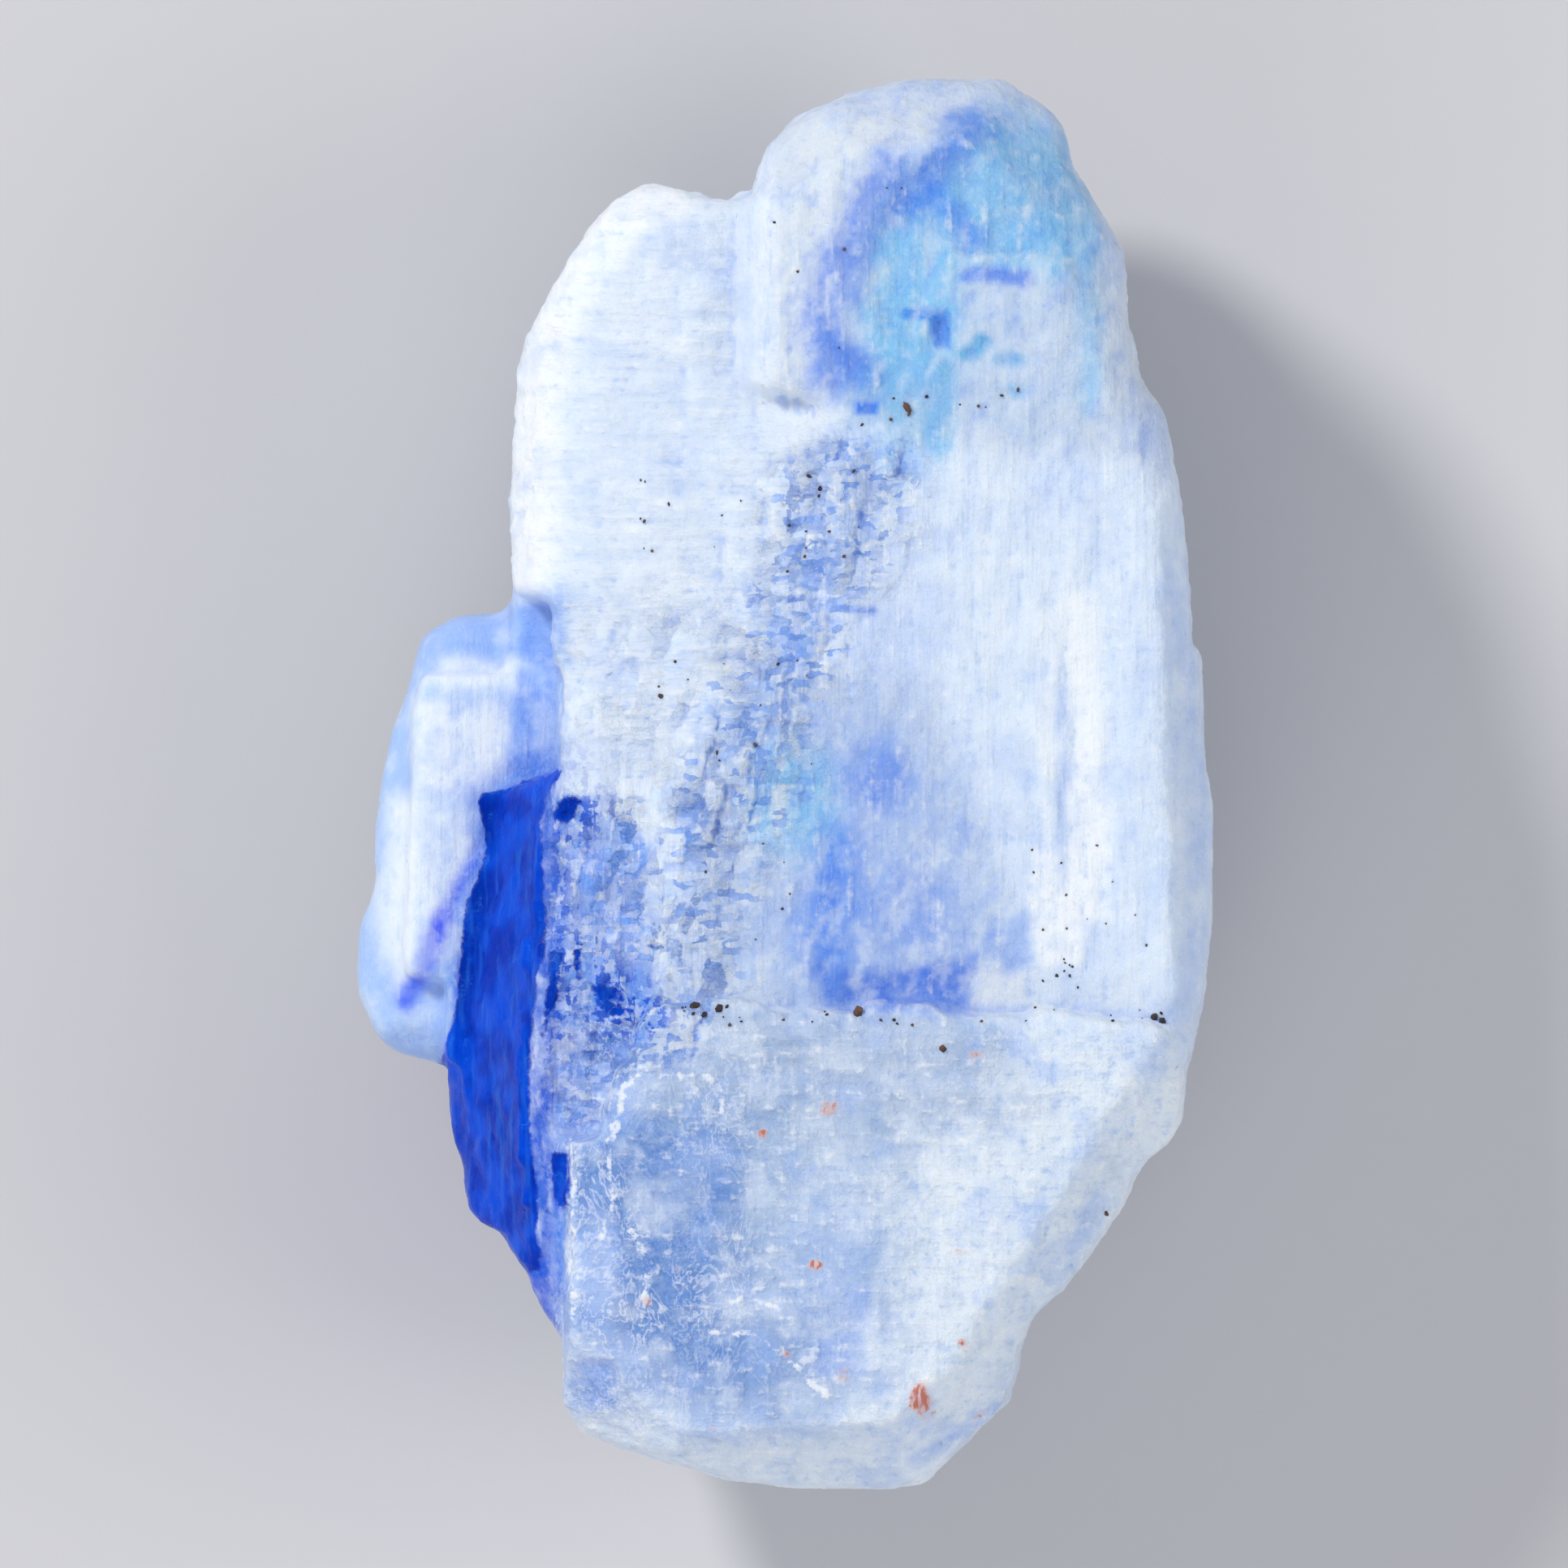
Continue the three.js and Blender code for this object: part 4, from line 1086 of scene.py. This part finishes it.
        # Painted shade in the deeper cleavage chips; the unsunk skin between them in the broken
        # stairs is laid frost-white, partly frost and partly a painted highlight on the raised
        # tops.
        lay(rgba[:, :3], TINT.shade, 0.2 * smooth_step(0.1, 0.5, chips))
        lay(rgba[:, :3], TINT.frost, 0.25 * smooth_step(0.1, 0.0, chips) * broken)
        mesh.attributes.new("tint", "FLOAT_COLOR", "POINT").data.foreach_set(
            "color", rgba.ravel())
        masks = {
            "cobalt": colouring.cobalt(at),
            "rust": colouring.rust(at) - 4.0 * (1.0 - smooth_step(0.3, 0.6, normals[:, 2])),
            "vein": colouring.veins(at),
            "broken": broken,
            "edge": self.convexity(at, normals),
            "depth": smooth_step(-0.5, 0.5, relief.noise.fractal(at / 1.9 + 6.0, 4, 0.6)),
            # The edge mask drives a painted highlight on bulging edges and painted shade in
            # hollows, and the roughness.
            "veiled": colouring.veiled(at),
            "lying": np.clip(Region.SLAB.cover(at) + 0.6 * lower, 0, 1),
            "crisp": ((0.62 + 0.38 * np.maximum(broken, lower) - 0.2 * Region.LOBE.cover(at))
                      * (0.35 + 0.65 * front)
                      * (0.4 + 0.6 * smooth_step(0.3, 0.85, normals[:, 2]))),
            "clear": relief.vivid(at) * smooth_step(12.0, 16.0, at[:, 2]) + 2.0 - 2.0 * front,
        }
        for name, values in masks.items():
            layer = mesh.attributes.new(name, "FLOAT", "POINT")
            layer.data.foreach_set("value", values.astype(np.float32))


Socket = bpy.types.NodeSocket
Feed = "float | Colour | Socket"


class Graph:
    """A material's nodes, added and joined in the order in which they are used."""

    def __init__(self, name: str) -> None:
        """Start an empty material.

        Args:
            name: The material's name.
        """
        self.material = bpy.data.materials.new(name)
        self.material.use_nodes = True
        self.tree = self.material.node_tree
        self.tree.nodes.clear()

    def feed(self, socket: Socket, value: Feed) -> None:
        """Set a socket, or join another node's socket to it.

        Args:
            socket: The socket to feed.
            value: A number, a colour, or the socket of another node.
        """
        if isinstance(value, Socket):
            self.tree.links.new(value, socket)
        elif isinstance(value, tuple) and len(value) == 3 and socket.type == "RGBA":
            socket.default_value = (*value, 1.0)
        else:
            socket.default_value = value

    def node(self, kind: str, feeds: dict[str | int, Feed] | None = None,
             **settings: object) -> bpy.types.Node:
        """Add a node.

        Args:
            kind: The node's type, without its leading ShaderNode.
            feeds: What goes into its sockets, by name or number.
            settings: The node's own settings.

        Returns:
            The node.
        """
        node = self.tree.nodes.new("ShaderNode" + kind)
        for name, value in settings.items():
            setattr(node, name, value)
        for key, value in (feeds or {}).items():
            self.feed(node.inputs[key], value)
        return node

    def place(self, scale: tuple[float, float, float] = (1.0, 1.0, 1.0),
              turn: float = 0.0) -> Socket:
        """Give the place on the piece, in millimetres over the scale.

        Args:
            scale: How much each axis is multiplied.
            turn: An angle about Z in radians.

        Returns:
            The socket of the place.
        """
        where = self.node("TexCoord").outputs["Object"]
        grown = tuple(part / MM for part in scale)
        return self.node("Mapping", {"Vector": where, "Scale": grown,
                                     "Rotation": (0.0, 0.0, turn)}).outputs["Vector"]

    def noise(self, at: Socket, scale: float, detail: float = 3.0,
              rough: float = 0.55, bend: float = 0.0) -> Socket:
        """Add noise of 0 to 1.

        Args:
            at: The place.
            scale: Cells in a millimetre.
            detail: Octaves.
            rough: The strength of each octave.
            bend: How much the noise twists itself.

        Returns:
            The socket of the noise.
        """
        return self.node("TexNoise", {"Vector": at, "Scale": scale, "Detail": detail,
                                      "Roughness": rough, "Distortion": bend}).outputs["Fac"]

    def mask(self, name: str) -> Socket:
        """Read a mask that the piece's mesh holds."""
        return self.node("Attribute", attribute_name=name).outputs["Fac"]

    def ease(self, value: Feed, low: float, high: float, first: float = 0.0,
             second: float = 1.0) -> Socket:
        """Ease a value from one range to another.

        Args:
            value: The value.
            low: Where the result is first.
            high: Where the result is second.
            first: The result at low.
            second: The result at high.

        Returns:
            The socket of the result.
        """
        node = self.node("MapRange", {"Value": value, "From Min": low, "From Max": high,
                                      "To Min": first, "To Max": second},
                         interpolation_type="SMOOTHSTEP")
        return node.outputs["Result"]

    def sum(self, kind: str, first: Feed, second: Feed, third: Feed = 0.0,
            hold: bool = False) -> Socket:
        """Work out a sum.

        Args:
            kind: The operation, such as ADD.
            first: The first value.
            second: The second value.
            third: The third value, where the operation has one.
            hold: Whether the result stays between 0 and 1.

        Returns:
            The socket of the result.
        """
        node = self.node("Math", {0: first, 1: second, 2: third}, operation=kind,
                         use_clamp=hold)
        return node.outputs["Value"]

    def vector(self, kind: str, first: Feed, second: Feed, out: str = "Vector") -> Socket:
        """Work out a sum of vectors and give the socket of its result.

        Args:
            kind: The operation, such as ADD.
            first: The first vector.
            second: The second vector.
            out: The name of the result's socket.

        Returns:
            The socket of the result.
        """
        return self.node("VectorMath", {0: first, 1: second}, operation=kind).outputs[out]

    def mix(self, share: Feed, under: Feed, over: Feed, kind: str = "MIX"
            ) -> Socket:
        """Lay one colour over another.

        Args:
            share: How much of the upper colour, 0 to 1.
            under: The colour below.
            over: The colour above.
            kind: How they mix.

        Returns:
            The socket of the mixed colour.
        """
        node = self.tree.nodes.new("ShaderNodeMix")
        node.data_type = "RGBA"
        node.blend_type = kind
        self.feed(node.inputs[0], share)
        self.feed(node.inputs[6], under)
        self.feed(node.inputs[7], over)
        return node.outputs[2]

    def finish(self, feeds: dict[str, Feed]) -> None:
        """Add the surface shader and join it to the material's output.

        Args:
            feeds: What goes into the shader's sockets, by name.
        """
        shader = self.node("BsdfPrincipled", feeds)
        self.node("OutputMaterial", {"Surface": shader.outputs[0]})


class HaliteFinish(Graph):
    """Clear to milky rock salt: cobalt zones, veins, frost, rust inclusions, painted highlight and
    shade.
    """

    IOR = 1.544
    SCATTER = 0.45
    SCATTER_DEPTH = 0.0013
    SCATTER_RADIUS = (0.8, 1.0, 1.4)
    CLEAR = 0.04
    CLEAR_SIDE = 0.26
    CLEAR_COBALT = 0.08
    GLOSS = 0.25
    GLOSS_TINT = (0.1, 0.55, 1.0, 1.0)
    BUMP = 0.9
    BUMP_DEPTH = 0.0003
    BUMP_COBALT = 0.45
    CHIPS = (1.25, 0.75, 0.8)
    CRUMBS = (1.9, 3.6, 1.6)
    STREAKS = ((3.2, 0.3, 1.6), (0.5, 3.4, 1.6))
    NET = ((0.50, 0.022, 0.55), (0.43, 0.014, 0.4), (0.565, 0.016, 0.5))

    def __init__(self) -> None:
        """Make the material."""
        super().__init__("halite_crystal")
        at = self.place()
        self.fine = self.noise(at, 2.3, 4.0, 0.66)
        upright, level = (self.noise(self.vector("MULTIPLY", at, stretch), 1.0, 2.0, 0.6)
                          for stretch in self.STREAKS)
        self.grain = self.node("Mix", {0: self.mask("lying"), 2: upright, 3: level}).outputs[0]
        self.broken = self.mask("broken")
        edge, crisp = self.mask("edge"), self.mask("crisp")
        chip, facet = self.facets(self.CHIPS)
        crumb, crumb_facet = self.facets(self.CRUMBS)
        colour = self.node("Attribute", attribute_name="tint").outputs["Color"]
        # Painted highlight on the fine relief's crests and painted shade in its dips.
        colour = self.fine_relief_shading(colour, crisp)
        # Painted shade and painted highlight on single facets of the broken skin.
        colour = self.broken_facet_shading(colour, ((chip, 0.4), (crumb, 0.55)))
        colour = self.veils(colour)
        # Painted highlight on bulging edges in the rim colour, and painted shade in hollows in
        # lilac.
        colour = self.mix(self.ease(edge, 0.6, 1.0, 0.0, 0.35), colour, TINT.rim)
        colour = self.mix(self.ease(edge, 0.42, 0.1, 0.0, 0.4), colour, TINT.lilac)
        inward = self.sum("ADD", self.mask("cobalt"), self.ease(self.fine, 0.2, 0.8, -0.09, 0.09))
        cobalt = self.ease(inward, -0.06, 0.08)
        colour = self.inclusions(self.cobalt_colour(colour, cobalt))
        height = self.sum("MULTIPLY", crisp, self.sum(
            "ADD", self.sum("MULTIPLY", self.fine, 0.9), self.sum("MULTIPLY", self.grain, 0.7)))
        tilts = self.sum("ADD", self.sum("MULTIPLY", facet, 2.6),
                         self.sum("MULTIPLY", crumb_facet, 1.0))
        height = self.sum("ADD", height, self.sum("MULTIPLY", self.broken, self.sum(
            "ADD", self.sum("MULTIPLY", chip, 0.45), tilts)))
        height = self.sum("MULTIPLY", height, self.ease(cobalt, 0.0, 1.0, 1.0, self.BUMP_COBALT))
        bump = self.node("Bump", {"Strength": self.BUMP, "Distance": self.BUMP_DEPTH,
                                  "Height": height})
        self.finish({
            "Base Color": colour,
            "Roughness": self.sum("ADD", self.ease(self.fine, 0.3, 0.7, 0.26, 0.44),
                                  self.ease(edge, 0.5, 1.0, 0.0, 0.12)),
            "IOR": self.IOR,
            "Specular IOR Level": self.GLOSS,
            "Specular Tint": self.GLOSS_TINT,
            "Transmission Weight": self.sum(
                "MAXIMUM", self.ease(cobalt, 0.0, 1.0, self.CLEAR, self.CLEAR_COBALT),
                self.ease(self.mask("clear"), 0.0, 2.0, self.CLEAR, self.CLEAR_SIDE)),
            "Subsurface Weight": self.SCATTER,
            "Subsurface Radius": self.SCATTER_RADIUS,
            "Subsurface Scale": self.SCATTER_DEPTH,
            "Normal": bump.outputs["Normal"],
        })

    def facets(self, scale: Colour) -> tuple[Socket, Socket]:
        """Break the skin into cleavage facets with straight edges.

        Args:
            scale: Facets in a millimetre, on each axis.

        Returns:
            The sockets of each facet's own value of 0 to 1, and of the height of its tilt.
        """
        fray = self.ease(self.fine, 0.0, 1.0, 0.0, 0.65)
        cells = self.vector("ADD", self.place(scale, TURN), fray)
        chips = self.node("TexVoronoi", {"Vector": cells, "Scale": 1.0},
                          distance="CHEBYCHEV").outputs
        lean = self.vector("SUBTRACT", chips["Color"], (0.5, 0.5, 0.5))
        way = self.vector("SUBTRACT", cells, chips["Position"])
        tilt = self.vector("DOT_PRODUCT", way, lean, "Value")
        return self.node("SeparateColor", {0: chips["Color"]}).outputs[0], tilt

    def fine_relief_shading(self, base: Socket, crisp: Socket) -> Socket:
        """Lay fine pale and dark grain: painted highlight on relief crests, painted shade in its
        dips.

        Args:
            base: The ground colour.
            crisp: How crisp the grain is.

        Returns:
            The socket of the colour.
        """
        both = self.sum("MULTIPLY", crisp, self.sum(
            "ADD", self.sum("SUBTRACT", self.grain, 0.5), self.sum("SUBTRACT", self.fine, 0.5)))
        # Painted highlight where the bump is high, painted shade where it is low.
        base = self.mix(self.ease(both, 0.02, 0.3, 0.0, 0.6), base, TINT.rim)
        return self.mix(self.ease(both, -0.02, -0.3, 0.0, 0.5), base, TINT.shade)

    def broken_facet_shading(self, base: Socket, layers: tuple[tuple[Socket, float], ...]) -> Socket:
        """Darken and brighten single facets where the skin is broken, as painted shade and
        highlight.

        Args:
            base: The colour below.
            layers: The facets' values and the most that they darken, for each layer.

        Returns:
            The socket of the colour.
        """
        broken_facet_shading = self.ease(self.broken, 0.25, 0.85)
        for facets, most in layers:
            # Painted shade in slate and painted highlight in frost, on facets picked by their own
            # value.
            dark = self.sum("ADD", self.ease(facets, 0.3, 0.9, 0.0, 0.12),
                            self.ease(facets, 0.8, 0.88, 0.0, most))
            base = self.mix(self.sum("MULTIPLY", broken_facet_shading, dark), base, TINT.slate)
            pale = self.sum("MULTIPLY", broken_facet_shading, self.ease(facets, 0.35, 0.1, 0.0, 0.3))
            base = self.mix(pale, base, TINT.frost)
        return base

    def veils(self, base: Socket) -> Socket:
        """Lay thin white veins and a net of fine healed cracks on the ground colour.

        Args:
            base: The ground colour.

        Returns:
            The socket of the colour.
        """
        net = self.noise(self.place((0.55, 0.34, 0.4)), 1.0, 5.0, 0.62, 0.35)
        veiled = self.mask("veiled")
        for level, width, share in self.NET:
            gap = self.sum("ABSOLUTE", self.sum("SUBTRACT", net, level), 0.0)
            thread = self.sum("MULTIPLY", veiled, self.ease(gap, width, 0.0, 0.0, share))
            base = self.mix(thread, base, TINT.rim)
        near = self.sum("SUBTRACT", self.ease(self.fine, 0.35, 0.75, 0.0, 0.22),
                        self.mask("vein"))
        return self.mix(self.ease(near, -0.04, 0.08, 0.0, 0.75), base, TINT.rim)

    def cobalt_colour(self, base: Socket, cobalt: Socket) -> Socket:
        """Fill the wedge with cobalt of several depths and scatter specks beside it.

        Args:
            base: The colour below.
            cobalt: The wedge's mask.

        Returns:
            The socket of the colour.
        """
        deep = self.mix(self.mask("depth"), TINT.cobalt, TINT.deep_cobalt)
        deep = self.mix(self.ease(self.grain, 0.5, 0.75, 0.0, 0.5), deep, TINT.sliver)
        deep = self.mix(self.ease(self.grain, 0.45, 0.25, 0.0, 0.3), deep, TINT.deep_cobalt)
        beside = self.ease(self.mask("cobalt"), -1.9, -0.2)
        both = self.sum("ADD", self.fine, self.sum("MULTIPLY", self.grain, 0.8))
        specks = self.sum("MULTIPLY", beside, self.ease(both, 0.92, 1.0))
        specks = self.sum("MULTIPLY", specks, self.broken)
        return self.mix(cobalt, self.mix(specks, base, TINT.cobalt_chip), deep)

    def inclusions(self, base: Socket) -> Socket:
        """Add the rust inclusions.

        Args:
            base: The colour below.

        Returns:
            The socket of the colour.
        """
        frayed = self.sum("ADD", self.ease(self.grain, 0.25, 0.75, -0.12, 0.12),
                          self.ease(self.fine, 0.25, 0.75, -0.14, 0.1))
        inward = self.sum("ADD", self.mask("rust"), frayed)
        halo = self.mix(self.ease(inward, -0.16, 0.06, 0.0, 0.5), base, TINT.pale_rust)
        fibres = self.noise(self.place((7.0, 1.6, 1.0), math.radians(-24.0)), 1.0, 2.0)
        stripes = self.ease(fibres, 0.4, 0.56, 0.12, 0.9)
        rust = self.sum("MULTIPLY", self.ease(inward, -0.03, 0.1), stripes)
        return self.mix(rust, halo, TINT.rust)


class DustFinish(Graph):
    """Dark grit: brown to black grains with a little ochre."""

    DARK = linear(38, 34, 40)
    BROWN = linear(96, 66, 50)
    OCHRE = linear(150, 112, 70)

    def __init__(self) -> None:
        """Make the material."""
        super().__init__("dark_grit")
        kinds = self.noise(self.place(), 0.9, 2.0)
        fine = self.noise(self.place(), 9.0, 3.0)
        colour = self.mix(self.ease(kinds, 0.42, 0.62), self.DARK, self.BROWN)
        bump = self.node("Bump", {"Strength": 0.6, "Distance": 0.00004, "Height": fine})
        self.finish({
            "Base Color": self.mix(self.ease(fine, 0.55, 0.75, 0.0, 0.7), colour, self.OCHRE),
            "Roughness": self.ease(fine, 0.3, 0.7, 0.6, 0.9),
            "Normal": bump.outputs["Normal"],
        })


class FloorFinish(Graph):
    """A plain pale matt floor."""

    COLOUR = (0.58, 0.58, 0.59)
    PALE = (0.62, 0.62, 0.63)

    def __init__(self) -> None:
        """Make the material."""
        super().__init__("pale_floor")
        cloth = self.noise(self.place(), 0.4, 3.0)
        colour = self.mix(self.ease(cloth, 0.3, 0.7, 0.0, 0.06), self.COLOUR, self.PALE)
        self.finish({"Base Color": colour, "Roughness": 0.85})


@dataclass
class Dust:
    """The grit that lies on the front of the lump, one joined piece."""

    lump: bpy.types.Object
    seed: int = 44
    strew: tuple[tuple[float, float, float, float, int, float, float], ...] = (
        (-3.8, -8.2, 14.4, -8.9, 24, 0.03, 0.075),
        (-3.4, -8.15, -1.8, -8.5, 5, 0.06, 0.12),
        (9.7, -6.4, 10.8, -7.1, 9, 0.03, 0.07),
        (-5.6, 11.4, 3.0, 7.8, 18, 0.03, 0.07),
        (-4.8, 5.2, 1.6, 2.0, 10, 0.03, 0.07),
        (1.4, 16.8, 8.6, 12.8, 9, 0.04, 0.08),
        (-4.0, 1.5, 2.0, -6.0, 9, 0.04, 0.08),
        (8.0, -2.0, 14.0, -8.0, 14, 0.03, 0.07),
        (-1.4, 22.0, 4.4, 18.0, 5, 0.03, 0.07),
    )
    single: tuple[tuple[float, float, float], ...] = (
        (4.52, 13.86, 0.19), (4.60, 13.62, 0.10), (2.73, -8.42, 0.20), (-2.40, -8.28, 0.14),
        (-3.22, -8.16, 0.13), (5.84, -9.72, 0.14), (13.6, -8.62, 0.15), (13.9, -8.72, 0.12),
        (0.93, 11.34, 0.10), (1.35, 10.89, 0.12), (1.3, 10.6, 0.10), (2.56, 11.5, 0.09),
        (11.85, -15.8, 0.10), (8.6, 14.5, 0.08), (-4.53, 3.25, 0.10), (-2.46, 1.15, 0.09),
    )

    def build(self) -> bpy.types.Object:
        """Make the grains and dress them.

        Returns:
            The finished piece.
        """
        rng = np.random.default_rng(self.seed)
        tree = BVHTree.FromObject(self.lump, bpy.context.evaluated_depsgraph_get())
        shell = bmesh.new()
        for left, top, right, low, count, least, most in self.strew:
            for _ in range(count):
                along = rng.random()
                x = left + (right - left) * along
                y = low + (top - low) * rng.random()
                self.add_grain(shell, tree, rng, x, y, rng.uniform(least, most))
        for x, y, radius in self.single:
            self.add_grain(shell, tree, rng, x, y, radius)
        mesh = bpy.data.meshes.new("dust_grains")
        shell.to_mesh(mesh)
        shell.free()
        mesh.materials.append(DustFinish().material)
        piece = bpy.data.objects.new("dust_grains", mesh)
        bpy.context.scene.collection.objects.link(piece)
        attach(piece, "root")
        return piece

    def add_grain(self, shell: bmesh.types.BMesh, tree: BVHTree, rng: np.random.Generator,
                  x: float, y: float, radius: float) -> None:
        """Seat one rough grain on the lump.

        Args:
            shell: The mesh of all grains.
            tree: The lump's surface.
            rng: The random numbers.
            x: The grain's X in millimetres.
            y: The grain's Y in millimetres.
            radius: The grain's radius in millimetres.
        """
        shape = rng.uniform(0.55, 1.25, 3)
        turn = rng.uniform(0.0, math.tau, 3)
        bumps = rng.uniform(0.75, 1.2, 42)
        hit = tree.ray_cast(Vector((x * MM, y * MM, 0.05)), Vector((0.0, 0.0, -1.0)))
        if hit[0] is None:
            return
        made = bmesh.ops.create_icosphere(shell, subdivisions=2, radius=radius * MM)
        place = Matrix.LocRotScale(hit[0] + hit[1] * radius * MM * 0.25,
                                   Euler(turn.tolist()), Vector(shape.tolist()))
        for vertex, bump in zip(made["verts"], bumps):
            vertex.co = place @ (vertex.co * bump)


@dataclass(frozen=True)
class Light:
    """One soft round light."""

    name: str
    place: tuple[float, float, float]
    size: float
    power: float
    colour: Colour = (1.0, 0.975, 0.965)


@dataclass
class Studio:
    """The floor, the soft lights and the camera."""

    floor_size: float = 4.0
    air: Colour = (0.85, 0.89, 1.0)
    air_strength: float = 0.44
    lights: tuple[Light, ...] = (
        Light("key", (-0.42, 0.40, 0.50), 0.15, 3.9),
        Light("fill", (0.52, -0.10, 0.40), 0.50, 1.5),
        Light("low", (-0.20, -0.52, 0.30), 0.40, 1.1),
    )
    view_width: float = 57.96
    view_plane: float = 12.0
    distance: float = 1.5
    sensor: float = 36.0

    def build(self) -> None:
        """Make the floor, the lights, the sky and the camera."""
        self.add_floor()
        self.add_lights()
        self.add_camera()

    def add_floor(self) -> None:
        """Lay the floor, which isn't part of the object."""
        half = self.floor_size / 2.0
        mesh = bpy.data.meshes.new("floor")
        mesh.from_pydata([(-half, -half, 0.0), (half, -half, 0.0), (half, half, 0.0),
                          (-half, half, 0.0)], [], [(0, 1, 2, 3)])
        mesh.materials.append(FloorFinish().material)
        floor = bpy.data.objects.new("floor", mesh)
        bpy.context.scene.collection.objects.link(floor)

    def add_lights(self) -> None:
        """Hang the lights, aimed at the lump, and light the air around evenly."""
        for light in self.lights:
            data = bpy.data.lights.new(light.name, "AREA")
            data.shape = "DISK"
            data.size = light.size
            data.energy = light.power
            data.color = light.colour
            lamp = bpy.data.objects.new(light.name, data)
            lamp.location = light.place
            lamp.rotation_euler = (-Vector(light.place)).to_track_quat("-Z", "Y").to_euler()
            bpy.context.scene.collection.objects.link(lamp)
        world = bpy.data.worlds.new("studio_air")
        world.use_nodes = True
        sky = world.node_tree.nodes["Background"]
        sky.inputs["Color"].default_value = (*self.air, 1.0)
        sky.inputs["Strength"].default_value = self.air_strength
        bpy.context.scene.world = world

    def add_camera(self) -> None:
        """Hang the camera straight above the lump, as in the photograph."""
        data = bpy.data.cameras.new("camera")
        data.sensor_width = self.sensor
        data.lens = self.sensor * self.distance / (self.view_width * MM)
        data.clip_start = 0.01
        data.clip_end = 20.0
        camera = bpy.data.objects.new("camera", data)
        camera.location = (0.0, 0.0, self.distance + self.view_plane * MM)
        bpy.context.scene.collection.objects.link(camera)
        bpy.context.scene.camera = camera
        bpy.context.scene.view_settings.view_transform = "Standard"


def main() -> None:
    """Build the studio, the lump and its dust, and note the sizes."""
    logging.basicConfig(level=logging.INFO, format="%(message)s")
    Studio().build()
    log.info("studio ready")
    lump = Lump(Relief(Noise(7))).build()
    log.info("%s: %d faces", lump.name, len(lump.data.polygons))
    dust = Dust(lump).build()
    log.info("%s: %d faces", dust.name, len(dust.data.polygons))


if __name__ == "__main__":
    main()
